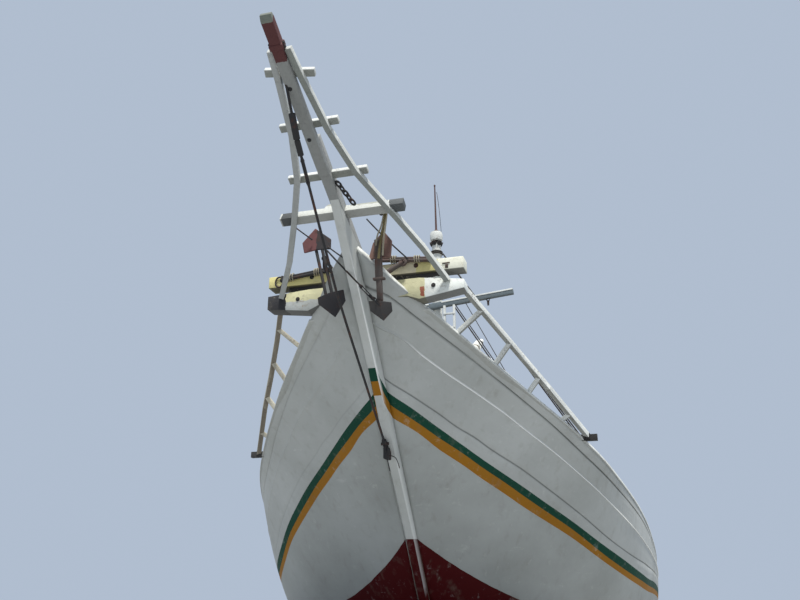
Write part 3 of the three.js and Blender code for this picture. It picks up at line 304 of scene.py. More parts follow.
def timber_finish(
    name, paint, bare, grain_turn=(0.0, 0.0, 0.0), wear=0.5, rust=0.25, bands=(), underside_shade_and_grime=None, tip=(),
):
    """Old paint on a squared timber: grain along its length, chips down to the wood, dirt and rust runs.

    bands lie under the wear and tip over it; the faces that look down are darkened with dirt and painted
    shade.
    """
    finish = new_finish(name, rough=0.82)
    where = place_pattern(finish)
    grain_where = place_pattern(finish, scale=(34.0, 2.2, 34.0), turn=grain_turn)
    grain = cloud(finish, grain_where, 1.0, detail=6.0, rough=0.6, low=0.3, high=0.7)
    bare_low, bare_high = 0.60 - 0.16 * wear, 0.78 - 0.1 * wear
    patches = cloud(finish, where, 2.3, detail=6.0, rough=0.65, low=bare_low, high=bare_high)
    chips = cloud(finish, where, 21.0, detail=5.0, rough=0.7, low=0.54, high=0.60)
    worn = calculated(finish, "MULTIPLY", patches, chips)
    tone = blended(finish, grain, tuple(c * 0.86 for c in paint), paint)
    if bands:
        tone = painted_bands(finish, where, tone, bands)
    stains = cloud(finish, where, 1.1, detail=5.0, low=0.42, high=0.85)
    stained = blended(finish, stains, tone, DIRT, strength=0.45)
    coat = blended(finish, worn, stained, bare)
    rust_where = place_pattern(finish, scale=(5.0, 5.0, 1.3))
    rusty = cloud(finish, rust_where, 1.0, detail=6.0, rough=0.7, low=0.66, high=0.74)
    colour = blended(finish, rusty, coat, RUST_RUN, strength=rust)
    # Painted shade and dirt on the faces that look down.
    if underside_shade_and_grime:
        colour = shaded_and_grimed_below(finish, colour, underside_shade_and_grime)
    if tip:
        colour = painted_bands(finish, where, colour, tip)
    coloured(finish, colour)
    roughened(finish, calculated(finish, "ADD", calculated(finish, "MULTIPLY", grain, 0.5), chips), 0.0035)
    return finish


def iron_finish(name, base, rust, amount, bands=()):
    """Painted or bare iron that has rusted in patches."""
    finish = new_finish(name, rough=0.85)
    where = place_pattern(finish)
    if bands:
        base = painted_bands(finish, where, blended(finish, 0.5, base, base), bands)
    rust_low, rust_high = 0.62 - 0.3 * amount, 0.72 - 0.22 * amount
    patches = cloud(finish, where, 4.5, detail=7.0, rough=0.68, low=rust_low, high=rust_high)
    pits = cloud(finish, where, 55.0, detail=3.0, low=0.3, high=0.7)
    rusty = blended(finish, pits, tuple(c * 0.6 for c in rust), rust)
    colour = blended(finish, patches, base, rusty)
    coloured(finish, colour)
    roughened(finish, pits, 0.003)
    return finish


# Colours of the hull: its whites are darker than the timbers' white paint, as painted shade on the
# overhanging sides.
HULL_WHITE_IN_SHADE = (0.45, 0.47, 0.46)
LOW_HULL_WHITE_IN_SHADE = (0.39, 0.41, 0.40)
BARE_WOOD = (0.20, 0.17, 0.13)
GREEN = (0.006, 0.056, 0.034)
YELLOW = (0.33, 0.145, 0.012)
RED = (0.066, 0.002, 0.003)


def hull_finish(name, white, low_white):
    """Hull paint: red bottom, a yellow and a green band along the planking, white above and between."""
    finish = new_finish(name, rough=0.7)
    surface(finish).inputs["Specular IOR Level"].default_value = 0.15
    line = shader_node(finish, "Attribute", attribute_name="paint_line").outputs["Fac"]
    where = place_pattern(finish)
    brush = cloud(finish, where, 2.6, detail=2.0, low=0.0, high=1.0)
    sway = calculated(finish, "MULTIPLY", calculated(finish, "SUBTRACT", brush, 0.5), 0.016)
    wavy = calculated(finish, "ADD", line, sway)
    ramp = shader_node(finish, "ValToRGB")
    bands = ramp.color_ramp
    bands.interpolation = "CONSTANT"
    # The paint line counts the hull's lines from -1 at the keel, a tenth of the ramp to each.
    colours = (RED, low_white, YELLOW, GREEN, white)
    while len(bands.elements) < len(colours):
        bands.elements.new(0.9)
    for k, (element, colour) in enumerate(zip(bands.elements, colours)):
        element.position = 0.1 * k
        element.color = (*colour, 1.0)
    along_ramp = calculated(finish, "MULTIPLY", calculated(finish, "ADD", wavy, 1.0), 0.1)
    wire(finish, along_ramp, ramp.inputs["Fac"])
    # Weathering: broad uneven tone, dirt runs down the side, and chalky scuffs and pale flecks, partly
    # painted water glints.
    broad = cloud(finish, where, 0.55, detail=5.0, rough=0.6, low=0.3, high=0.75)
    tone = blended(finish, broad, ramp.outputs["Color"], (0.55, 0.55, 0.52), kind="MULTIPLY", strength=0.6)
    runs = cloud(finish, place_pattern(finish, scale=(7.0, 7.0, 0.5)), 1.0, detail=5.0, low=0.55, high=0.8)
    dirty = blended(finish, runs, tone, (0.20, 0.19, 0.15), strength=0.30)
    glint_and_scuff_where = place_pattern(finish, scale=(1.2, 1.2, 3.0))
    scuffs_and_water_glints = cloud(finish, glint_and_scuff_where, 1.6, detail=8.0, rough=0.75, low=0.62, high=0.7)
    glint_and_fleck_where = place_pattern(finish, scale=(2.0, 2.0, 1.1))
    flecks_and_water_glints = cloud(finish, glint_and_fleck_where, 3.4, detail=6.0, rough=0.7, low=0.60, high=0.68)
    pale = blended(finish, flecks_and_water_glints, dirty, (0.74, 0.75, 0.73), strength=0.11)
    chalky_and_glinting = blended(finish, scuffs_and_water_glints, pale, (0.70, 0.72, 0.70), strength=0.20)
    seam = shader_node(finish, "Attribute", attribute_name="seam").outputs["Fac"]
    dark = blended(finish, seam, chalky_and_glinting, (0.035, 0.037, 0.036), strength=0.85)
    # Painted highlight: a near white line along the port bead and down the stem's nose edge.
    edge = shader_node(finish, "Attribute", attribute_name="painted_highlight").outputs["Fac"]
    bright = blended(finish, edge, dark, (0.93, 0.94, 0.92), strength=0.95)
    coloured(finish, bright)
    planks = place_pattern(finish, scale=(0.25, 1.0, 1.0), seam_map="planks")
    faired = cloud(finish, planks, 3.2, detail=2.0, low=0.2, high=0.8)
    roughened(finish, faired, 0.012, strength=0.35)
    return finish


def cloth_finish(name, colour):
    """Canvas: a fine weave, with darker patches as painted shade in its folds."""
    finish = new_finish(name, rough=0.95)
    weave_where = place_pattern(finish, scale=(160.0, 160.0, 160.0))
    weave = cloud(finish, weave_where, 1.0, detail=1.0, low=0.2, high=0.8)
    folds = cloud(finish, place_pattern(finish), 3.0, detail=5.0, low=0.3, high=0.75)
    # Painted shade: the fold patches are darkened.
    tone = blended(finish, folds, colour, tuple(c * 0.62 for c in colour))
    coloured(finish, tone)
    roughened(finish, calculated(finish, "ADD", weave, folds), 0.006)
    return finish


def rope_finish(name, colour):
    """Laid rope, with slanting strands."""
    finish = new_finish(name, rough=0.95)
    lay = shader_node(finish, "TexWave", wave_type="BANDS", bands_direction="DIAGONAL")
    lay.inputs["Scale"].default_value = 26.0
    lay.inputs["Distortion"].default_value = 1.5
    wire(finish, place_pattern(finish), lay.inputs["Vector"])
    # Painted shade: the grooves between the strands are darker.
    tone = blended(finish, lay.outputs["Fac"], tuple(c * 0.5 for c in colour), colour)
    coloured(finish, tone)
    roughened(finish, lay.outputs["Fac"], 0.004)
    return finish


def deck_finish(name, board, across, colour, seam_width=0.06):
    """Laid boards with dark seams: board width in metres, and the axis across them."""
    finish = new_finish(name, rough=0.85)
    where = place_pattern(finish)
    split = shader_node(finish, "SeparateXYZ")
    wire(finish, where, split.inputs["Vector"])
    share = calculated(finish, "FRACT", calculated(finish, "DIVIDE", split.outputs[across], board))
    seam = calculated(finish, "LESS_THAN", share, seam_width)
    turn = (0.0, 0.0, pi / 2) if across == "Y" else (0.0, 0.0, 0.0)
    grain_where = place_pattern(finish, scale=(30.0, 1.6, 30.0), turn=turn)
    grain = cloud(finish, grain_where, 1.0, detail=6.0)
    patches = cloud(finish, where, 0.9, detail=5.0, low=0.3, high=0.75)
    tone = blended(finish, grain, tuple(c * 0.62 for c in colour), colour)
    worn = blended(finish, patches, tone, (0.32, 0.30, 0.27), strength=0.4)
    coloured(finish, blended(finish, seam, worn, (0.015, 0.013, 0.012)))
    roughened(finish, calculated(finish, "SUBTRACT", grain, calculated(finish, "MULTIPLY", seam, 2.0)), 0.004)
    return finish


def glass_finish():
    """Dark panes that show no inside, painted as the shade behind them, with streaks of salt."""
    finish = new_finish("window_glass", rough=0.08)
    surface(finish).inputs["IOR"].default_value = 1.45
    streaks = cloud(finish, place_pattern(finish, scale=(3.0, 3.0, 0.8)), 2.0, detail=3.0)
    coloured(finish, blended(finish, streaks, (0.02, 0.028, 0.03), (0.07, 0.085, 0.085)))
    return finish


HULL_PAINT = hull_finish("hull_paint", HULL_WHITE_IN_SHADE, LOW_HULL_WHITE_IN_SHADE)
# The stem's white is a lighter copy of the hull's paint: painted light on the stem's front.
LIT_STEM_PAINT = hull_finish("lit_stem_paint", (0.56, 0.58, 0.565), (0.54, 0.56, 0.545))
# Which way the grain runs: turns of the pattern
ACROSS = (0.0, 0.0, pi / 2)
SLOPING = (HEAD_SLOPE, 0.0, 0.0)
UPRIGHT = (pi / 2, 0.0, 0.0)
UNDERSIDE_MOSS_AND_SHADE = (0.15, 0.16, 0.14)
KHAKI = (0.56, 0.54, 0.33)
BLACK = (0.018, 0.018, 0.022)
BRIGHT = (0.74, 0.77, 0.73)
TIMBER_ACROSS = timber_finish(
    "white_timber_across", (0.70, 0.72, 0.69), BARE_WOOD, grain_turn=ACROSS, underside_shade_and_grime=UNDERSIDE_MOSS_AND_SHADE,
)
TIMBER_ALONG = timber_finish("white_timber_along", (0.66, 0.68, 0.65), BARE_WOOD, underside_shade_and_grime=(0.28, 0.29, 0.27))
TIMBER_HEAD = timber_finish(
    "white_timber_head", (0.62, 0.64, 0.61), BARE_WOOD, grain_turn=SLOPING, wear=0.6,
    underside_shade_and_grime=(0.15, 0.165, 0.15),
)
WORN_HEAD = timber_finish(
    "worn_timber_head", (0.54, 0.56, 0.54), (0.13, 0.10, 0.075), grain_turn=SLOPING, wear=0.9, rust=0.4,
    underside_shade_and_grime=(0.28, 0.295, 0.29),
)
RAIL_END = ("Y", -10.98, -10.5)
SIDE_RAIL_FINISH = {
    "port": timber_finish(
        "side_rail_port_paint", (0.70, 0.72, 0.69), BARE_WOOD, wear=0.6, underside_shade_and_grime=(0.16, 0.165, 0.15),
        tip=(((0.014, 0.013, 0.012), RAIL_END),),
    ),
    "starboard": timber_finish(
        "side_rail_starboard_paint", (0.50, 0.47, 0.38), (0.12, 0.075, 0.05), wear=1.0, rust=0.8,
        underside_shade_and_grime=(0.12, 0.10, 0.075), tip=(((0.03, 0.03, 0.03), RAIL_END),),
    ),
}
BEAM_LOW, BEAM_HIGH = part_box("cross_beam_4")
BEAM_MOSS = (0.30, 0.31, 0.27)
LAST_BEAM = timber_finish(
    "last_beam_timber", (0.60, 0.62, 0.58), BARE_WOOD, grain_turn=ACROSS, wear=0.8, underside_shade_and_grime=(0.25, 0.255, 0.24),
    tip=(
        (BEAM_MOSS, ("Z", BEAM_HIGH.z - 0.045, 9.0)),
        (BEAM_MOSS, ("X", 0.16, 0.80), ("Z", BEAM_HIGH.z - 0.12, 9.0)),
        ((0.06, 0.065, 0.065), ("X", BEAM_LOW.x + 0.03, BEAM_LOW.x + 0.22)),
        ((0.07, 0.078, 0.08), ("X", BEAM_HIGH.x - 0.24, 2.0)),
    ),
)
TIMBER_UP = timber_finish("white_timber_upright", (0.66, 0.68, 0.65), BARE_WOOD, grain_turn=UPRIGHT)
SPRIT_PAINT = timber_finish(
    "sprit_paint", (0.33, 0.34, 0.33), BARE_WOOD, grain_turn=SLOPING, wear=0.6, underside_shade_and_grime=(0.21, 0.22, 0.215),
    tip=(((0.075, 0.02, 0.02), ("Y", -18.52, -18.0)), ((0.15, 0.165, 0.14), ("Y", -20.0, -18.52))),
)
YELLOW_TIMBER = timber_finish(
    "yellow_timber", (0.70, 0.63, 0.27), (0.62, 0.58, 0.40), grain_turn=ACROSS, wear=0.8, rust=0.8,
    # Black on the faces that look down: painted shade under the beam.
    underside_shade_and_grime=BLACK,
    bands=(((0.76, 0.76, 0.64), ("X", 1.33, 2.0)), ((0.66, 0.60, 0.42), ("X", 0.3, 0.95))),
)
LOWER_BEAM = timber_finish(
    "lower_beam_timber", (0.46, 0.48, 0.46), (0.30, 0.26, 0.20), grain_turn=ACROSS, wear=0.8, rust=0.5,
    # Near black on the faces that look down: painted shade under the beam.
    underside_shade_and_grime=(0.06, 0.06, 0.058),
    bands=(
        (KHAKI, ("X", -1.42, -0.55), ("Z", 5.765, 6.0)),
        (KHAKI, ("X", 0.40, 1.10)),
        (BRIGHT, ("X", 1.10, 2.0)),
        ((0.30, 0.075, 0.035), ("X", 1.02, 1.09), ("Z", 5.62, 5.80)),
        (BLACK, ("X", -2.0, -1.42), ("Z", 5.5, 6.0)),
        # Painted shadow: the recessed filler under the upper beam is painted black.
        (BLACK, ("Z", 5.972, 6.2)),
    ),
)
RED_TIMBER = timber_finish(
    "red_timber", (0.085, 0.04, 0.035), BARE_WOOD, grain_turn=SLOPING, wear=0.4, rust=0.3,
)
RUST = iron_finish("rusty_iron", (0.075, 0.062, 0.056), (0.090, 0.048, 0.038), amount=0.5)
DARK_IRON = iron_finish("dark_iron", (0.02, 0.02, 0.021), (0.075, 0.03, 0.018), amount=0.35)
PALM_IRON = iron_finish(
    "palm_iron", (0.022, 0.02, 0.022), (0.06, 0.025, 0.018), amount=0.35,
    bands=(((0.125, 0.045, 0.045), ("X", -1.2, -0.66), ("Z", 6.2, 7.0)),),
)
PORT_PALM_IRON = iron_finish(
    "port_palm_iron", (0.15, 0.085, 0.068), (0.085, 0.048, 0.036), amount=0.35,
    bands=(((0.045, 0.042, 0.040), ("Z", 4.9, 5.6)),),
)
BRONZE = iron_finish("dull_bronze", (0.30, 0.20, 0.08), (0.10, 0.16, 0.10), amount=0.4)
ROPE = rope_finish("tarred_rope", (0.055, 0.048, 0.04))
ROPE_OLD = rope_finish("old_green_rope", (0.16, 0.13, 0.055))
PALE_ROPE = rope_finish("pale_rope", (0.42, 0.38, 0.28))
SAILCLOTH = cloth_finish("sailcloth", (0.66, 0.66, 0.62))
DECK = deck_finish("deck_boards", 0.14, "X", (0.26, 0.19, 0.12))
HATCH_BOARDS = deck_finish("hatch_boards", 0.22, "Y", (0.22, 0.17, 0.11))
ROOF_PAINT = timber_finish("green_roof_paint", (0.02, 0.12, 0.06), (0.30, 0.32, 0.28), wear=0.4, rust=0.3)
BOTTOM_PAINT = timber_finish("red_bottom_paint", RED, (0.06, 0.05, 0.04), wear=0.5, rust=0.2)
DOOR_WOOD = timber_finish(
    "door_wood", (0.20, 0.10, 0.045), (0.10, 0.06, 0.035), grain_turn=UPRIGHT, wear=0.3, rust=0.1,
)
GLASS = glass_finish()
WALL_BOARDS = deck_finish("wall_boards", 0.15, "Z", (0.70, 0.72, 0.69), seam_width=0.04)
TRIM_PAINT = timber_finish("green_trim_paint", (0.02, 0.14, 0.075), (0.30, 0.32, 0.28), wear=0.4, rust=0.1)
PANEL_WOOD = timber_finish(
    "door_panels", (0.15, 0.075, 0.035), (0.10, 0.06, 0.035), grain_turn=UPRIGHT, wear=0.3, rust=0.1,
)
CROSSTREE_PAINT = timber_finish(
    "crosstree_paint", (0.115, 0.145, 0.16), BARE_WOOD, grain_turn=ACROSS, rust=0.1,
)
SAIL_TIES = rope_finish("sail_ties", (0.30, 0.24, 0.15))


def mesh_of(name, bm):
    """A mesh made from a bmesh, which is freed."""
    mesh_data = bpy.data.meshes.new(name)
    bm.to_mesh(mesh_data)
    bm.free()
    return mesh_data


# Light and floor

bm = bmesh.new()
bmesh.ops.create_grid(bm, x_segments=1, y_segments=1, size=300.0)
floor_mesh = mesh_of("floor", bm)
floor_finish = new_finish("pale_floor", rough=0.9)
surface(floor_finish).inputs["Base Color"].default_value = (0.35, 0.355, 0.355, 1.0)
floor_mesh.materials.append(floor_finish)
floor = bpy.data.objects.new("floor", floor_mesh)
bpy.context.scene.collection.objects.link(floor)

sky = bpy.data.worlds.new("studio")
sky.use_nodes = True
sky.node_tree.nodes["Background"].inputs["Color"].default_value = (0.46, 0.54, 0.66, 1.0)
sky.node_tree.nodes["Background"].inputs["Strength"].default_value = 0.95
bpy.context.scene.world = sky

sun_data = bpy.data.lights.new("key_light", "SUN")
sun_data.energy = 5.6
sun_data.angle = radians(9.0)
sun_data.color = (1.0, 0.97, 0.92)
sun = bpy.data.objects.new("key_light", sun_data)
sun.rotation_mode = "QUATERNION"
sun.rotation_quaternion = Vector((0.17, -0.31, 0.935)).to_track_quat("Z", "Y")
bpy.context.scene.collection.objects.link(sun)


# Building pieces

def finished(name, mesh_data, finish, body="root", slot=None, replaces=(), smooth=35.0):
    """Turns mesh data into a piece that rides on a body."""
    mesh_data.materials.append(finish)
    mesh_data.polygons.foreach_set("use_smooth", [True] * len(mesh_data.polygons))
    mesh_data.set_sharp_from_angle(angle=radians(smooth))
    piece = bpy.data.objects.new(name, mesh_data)
    bpy.context.scene.collection.objects.link(piece)
    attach(piece, body)
    if replaces:
        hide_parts(*replaces)
    return piece


def from_bmesh(name, bm, finish, **rest):
    """A piece made from a closed bmesh."""
    bmesh.ops.recalc_face_normals(bm, faces=bm.faces)
    return finished(name, mesh_of(name, bm), finish, **rest)


def copied(*nodes):
    """The merged shape of one or more solids of the part, to work on."""
    bm = bmesh.new()
    for node in nodes:
        bm.from_mesh(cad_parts[node].data)
    bmesh.ops.remove_doubles(bm, verts=bm.verts, dist=0.0002)
    bmesh.ops.dissolve_limit(bm, angle_limit=radians(1.5), verts=bm.verts, edges=bm.edges)
    return bm


def clamped(value, low=0.0, high=1.0):
    return max(low, min(high, value))


def bevelled(bm, edges, width, segments=2):
    bmesh.ops.bevel(
        bm, geom=edges, offset=width, offset_type="OFFSET", segments=segments, profile=0.5,
        affect="EDGES", clamp_overlap=True, material=-1,
    )


SHARP = radians(25.0)


def eased(bm, width, segments=2):
    """Rounds the sharp edges."""
    edges = [e for e in bm.edges if e.is_manifold and e.calc_face_angle(0.0) > SHARP]
    bevelled(bm, edges, width, segments)
    return bm


def hewn(name, node, finish, width, slot, body="root"):
    """A timber of the part with its edges rounded by wear."""
    return from_bmesh(name, eased(copied(node), width), finish, body=body, slot=slot, replaces=(node,))


def add_block(bm, place, size, ease):
    """A squared piece of a size, put in place, with its edges eased."""
    made = bmesh.ops.create_cube(bm, size=1.0, matrix=place @ Matrix.Diagonal((*size, 1.0)))
    if ease:
        bevelled(bm, list({e for v in made["verts"] for e in v.link_edges}), ease)


def add_box(bm, low, high, ease, turn=Matrix.Identity(4)):
    """A squared piece between two corners, turned about its own middle."""
    low, high = Vector(low), Vector(high)
    add_block(bm, Matrix.Translation((low + high) / 2) @ turn, high - low, ease)


def aim(start, end):
    """A placing whose Z runs from one point to another, at the middle."""
    start, end = Vector(start), Vector(end)
    turn = (end - start).to_track_quat("Z", "Y").to_matrix().to_4x4()
    return Matrix.Translation((start + end) / 2) @ turn


def add_bar(bm, start, end, width, depth, ease):
    """A squared bar from one point to another: width is level, depth is square to it."""
    start, end = Vector(start), Vector(end)
    run = end - start
    length = run.length
    side = run.cross(Vector((0, 0, 1)))
    if side.length < 1e-6:
        side = Vector((1, 0, 0))
    side.normalize()
    run.normalize()
    turn = Matrix((side, run, side.cross(run))).transposed().to_4x4()
    add_block(bm, Matrix.Translation((start + end) / 2) @ turn, (width, length, depth), ease)


def add_rod(bm, start, end, radius, end_radius=None, sides=16):
    """A round bar from one point to another, which may taper."""
    bmesh.ops.create_cone(
        bm, cap_ends=True, segments=sides, radius1=radius, radius2=end_radius or radius,
        depth=(Vector(end) - Vector(start)).length, matrix=aim(start, end),
    )


def add_ball(bm, at, radius, around, up):
    place = Matrix.Translation(at)
    bmesh.ops.create_uvsphere(bm, u_segments=around, v_segments=up, radius=radius, matrix=place)


def merged(bm, part, place=None):
    """Adds a shape made in a bmesh of its own, put in place."""
    if place is not None:
        bmesh.ops.transform(part, matrix=place, verts=part.verts)
    holder = bpy.data.meshes.new("shape")
    part.to_mesh(holder)
    part.free()
    bm.from_mesh(holder)
    bpy.data.meshes.remove(holder)


def spun(part, geom, sides):
    """Spins an outline about Z into a closed shape."""
    bmesh.ops.spin(
        part, geom=geom, cent=(0, 0, 0), axis=(0, 0, 1), angle=2 * pi, steps=sides, use_merge=True,
    )
    bmesh.ops.remove_doubles(part, verts=part.verts, dist=1e-5)


# Turns of a shape made about Z, so that it lies along X or Y
TO_X = Matrix.Rotation(pi / 2, 4, "Y")
TO_Y = Matrix.Rotation(pi / 2, 4, "X")


def add_turned(bm, at, profile, sides=24, turn=Matrix.Identity(4)):
    """A turned shape about Z, from (radius, height) pairs."""
    part = bmesh.new()
    corners = [part.verts.new((radius, 0.0, height)) for radius, height in profile]
    edges = [part.edges.new(pair) for pair in zip(corners, corners[1:])]
    spun(part, corners + edges, sides)
    bmesh.ops.recalc_face_normals(part, faces=part.faces)
    merged(bm, part, Matrix.Translation(at) @ turn)


def add_ring(bm, at, turn, radius, wire_radius, stretch=1.0, sides=16, around=8):
    """A ring, made in the XY plane and longer along Y where stretched, turned and put in place."""
    part = bmesh.new()
    place = Matrix.Translation((radius, 0, 0)) @ TO_Y
    made = bmesh.ops.create_circle(part, cap_ends=False, segments=around, radius=wire_radius, matrix=place)
    edges = list({e for v in made["verts"] for e in v.link_edges})
    spun(part, made["verts"] + edges, sides)
    for vertex in part.verts:
        vertex.co.y += (stretch - 1.0) * radius * clamped(vertex.co.y / radius, low=-1.0)
    bmesh.ops.recalc_face_normals(part, faces=part.faces)
    merged(bm, part, Matrix.Translation(at) @ turn)


def add_chain(bm, start, end, link, wire_radius=0.011):
    """Links along a straight line, each turned a quarter from the last."""
    start, end = Vector(start), Vector(end)
    along = (end - start).to_track_quat("Y", "Z").to_matrix().to_4x4()
    count = max(2, round((end - start).length / (link * 0.72)))
    for k in range(count):
        turn = along @ Matrix.Rotation(pi / 2 * (k % 2), 4, "Y")
        at = start.lerp(end, (k + 0.5) / count)
        add_ring(bm, at, turn, link * 0.28, wire_radius, stretch=1.8, sides=10, around=6)


def add_turnbuckle(bm, start, end, share, length):
    """A rigging screw with its two eyes, at a share of the way along a wire."""
    start, end = Vector(start), Vector(end)
    run = (end - start).normalized()
    middle = start.lerp(end, share)
    side = run.orthogonal().normalized() * 0.022
    for way in (-1, 1):
        half = run * length / 2
        add_rod(bm, middle - half + side * way, middle + half + side * way, 0.009, sides=8)
        out = run * way
        near, far, eye = (middle + out * (length / 2 + more) for more in (-0.02, 0.03, 0.16))
        add_rod(bm, near, far, 0.034, 0.022, sides=12)
        add_rod(bm, middle + out * length / 2, eye, 0.012, sides=8)


def add_bolt(bm, at, axis, radius):
    """A round bolt head with its washer."""
    at, axis = Vector(at), Vector(axis).normalized()
    add_rod(bm, at - axis * 0.004, at + axis * 0.006, radius * 1.6, sides=14)
    add_rod(bm, at, at + axis * 0.02, radius, radius * 0.8, sides=8)


def line_piece(name, points, radius, finish, body="root"):
    """A rope or wire that follows points."""
    data = bpy.data.curves.new(name, "CURVE")
    data.dimensions = "3D"
    data.bevel_depth = radius
    data.bevel_resolution = 2
    data.resolution_u = 6
    data.use_fill_caps = True
    spline = data.splines.new("NURBS" if len(points) > 2 else "POLY")
    spline.points.add(len(points) - 1)
    for point, place in zip(spline.points, points):
        point.co = (*place, 1.0)
    if spline.type == "NURBS":
        spline.order_u = 3
        spline.use_endpoint_u = True
    data.materials.append(finish)
    piece = bpy.data.objects.new(name, data)
    bpy.context.scene.collection.objects.link(piece)
    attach(piece, body)


def mix(a, b, t):
    return a + (b - a) * t


def smooth_at(places, values, at):
    """Value of a smooth curve through points, straight beyond its ends."""
    last = len(places) - 1
    i = 0
    while i < last - 1 and at > places[i + 1]:
        i += 1

    def slope(k):
        if k == 0:
            return (values[1] - values[0]) / (places[1] - places[0])
        if k == last:
            return (values[last] - values[last - 1]) / (places[last] - places[last - 1])
        before = (values[k] - values[k - 1]) / (places[k] - places[k - 1])
        after = (values[k + 1] - values[k]) / (places[k + 1] - places[k])
        share = (places[k + 1] - places[k]) / (places[k + 1] - places[k - 1])
        return mix(after, before, share)

    if at <= places[0]:
        return values[0] + slope(0) * (at - places[0])
    if at >= places[last]:
        return values[last] + slope(last) * (at - places[last])
    run = places[i + 1] - places[i]
    t = (at - places[i]) / run
    a, b = values[i], values[i + 1]
    ma, mb = slope(i) * run, slope(i + 1) * run
    start = (2 * t**3 - 3 * t**2 + 1) * a + (t**3 - 2 * t**2 + t) * ma
    return start + (3 * t**2 - 2 * t**3) * b + (t**3 - t**2) * mb


# Hull planking

STATION_Y, HALVES, SHEERS, BOTTOMS, FULLNESS = zip(*STATIONS)


def half_at(y):
    """Half breadth of the hull at the sheer."""
    return smooth_at(STATION_Y, HALVES, y)


def sheer_at(y):
    return smooth_at(STATION_Y, SHEERS, y)


def skin_point(y, share):
    """A point of the port skin, at a share of the height from the keel to the sheer."""
    half, sheer, bottom = half_at(y), sheer_at(y), smooth_at(STATION_Y, BOTTOMS, y)
    fullness = smooth_at(STATION_Y, FULLNESS, y)
    x = STEM_HALF + (half - STEM_HALF) * (1.0 - (1.0 - share) ** fullness) ** (1.0 / fullness)
    z = mix(bottom, sheer, share)
    rake = TRANSOM_RAKE * clamped((y - 13.0) / 1.3)
    return Vector((x, y + rake * (z - bottom), z))


HULL_LINES = (RED_TOP, YELLOW_LOW, YELLOW_TOP, GREEN_TOP, LOW_SEAM, RIDGE, SHEER_SEAM)
KEEL_LINE = ((-8.5, 0.0), (TRANSOM_Y, 0.0))
SHEER_ROW = len(HULL_LINES) + 1  # the rows are counted from the keel, and the last is the sheer itself


def lift_at(y):
    if not STARBOARD_LIFT[0][0] < y < STARBOARD_LIFT[-1][0]:
        return 0.0
    return smooth_at(*zip(*STARBOARD_LIFT), y)


def row_lines(side):
    """Places and shares of the rows of one side."""
    rows = [tuple(zip(*KEEL_LINE))]
    for points, lift in zip(HULL_LINES, LIFTS):
        places, shares = zip(*points)
        if side < 0:
            shares = [share + lift * lift_at(y) for y, share in points]
        rows.append((places, shares))
    return rows


ROW_LINES = {side: row_lines(side) for name, side in SIDES}


def row_spacing(u):
    """Columns stand closer at the bow."""
    return 0.35 * u + 0.65 * u * u


def line_place(line, u, side):
    """Place and share of the height of a line at a share of its length."""
    places, shares = ROW_LINES[side][line]
    y = mix(places[0], TRANSOM_Y, row_spacing(u))
    return y, clamped(smooth_at(places, shares, y))


def planking_point(row, u, side=1):
    """A point of the planking, on the port side of the frame, by its row, counted in lines from the
    keel, and its share along. The side says whose lines it follows."""
    below = min(int(row), SHEER_ROW - 1)
    t = row - below
    y, share = line_place(below, u, side)
    if below == SHEER_ROW - 1:
        top_y = mix(STATION_Y[0], TRANSOM_Y, row_spacing(u))
        return skin_point(y, share).lerp(skin_point(top_y, 1.0), t)
    if below == 0:
        t = t**3
    next_y, next_share = line_place(below + 1, u, side)
    return skin_point(mix(y, next_y, t), mix(share, next_share, t))


# Rows of the planking between two lines, and how far the skin is pushed out (or let in) on each line.
ROWS_BETWEEN = (16, 11, 3, 3, 2, 6, 4, 3)
LINE_PUSH = {5: -0.012, 6: 0.020, 7: -0.022}
LINE_WIDTH = {5: 0.032, 6: 0.030, 7: 0.052}
# How dark the seams are, and how deep, on the port and the weather-filled starboard side
SEAM_TONE = {1: 0.75, -1: 0.15}
SEAM_DEPTH = {1: 1.0, -1: 0.3}


def planking_rows():
    """Rows as (row, push): three close rows make each seam or bead."""
    rows = []
    for line, count in enumerate(ROWS_BETWEEN):
        gap = max((planking_point(line + 1, 0.15) - planking_point(line, 0.15)).length, 1e-6)
        for k in range(count):
            if k == 0 and line in LINE_PUSH:
                near = LINE_WIDTH[line] / gap
                rows.append((line, LINE_PUSH[line]))
                rows.append((line + near, 0.0))
            elif k or line not in LINE_PUSH:
                rows.append((line + k / count, 0.0))
        if line + 1 in LINE_PUSH:
            rows.append((line + 1 - LINE_WIDTH[line + 1] / gap, 0.0))
    rows.append((SHEER_ROW, 0.0))
    return rows


COLUMNS = 150


def thickened(piece, thickness):
    """Gives a skin its thickness, inwards from its face."""
    wall = piece.modifiers.new("thickness", "SOLIDIFY")
    wall.thickness = thickness
    wall.offset = -1.0
    return wall


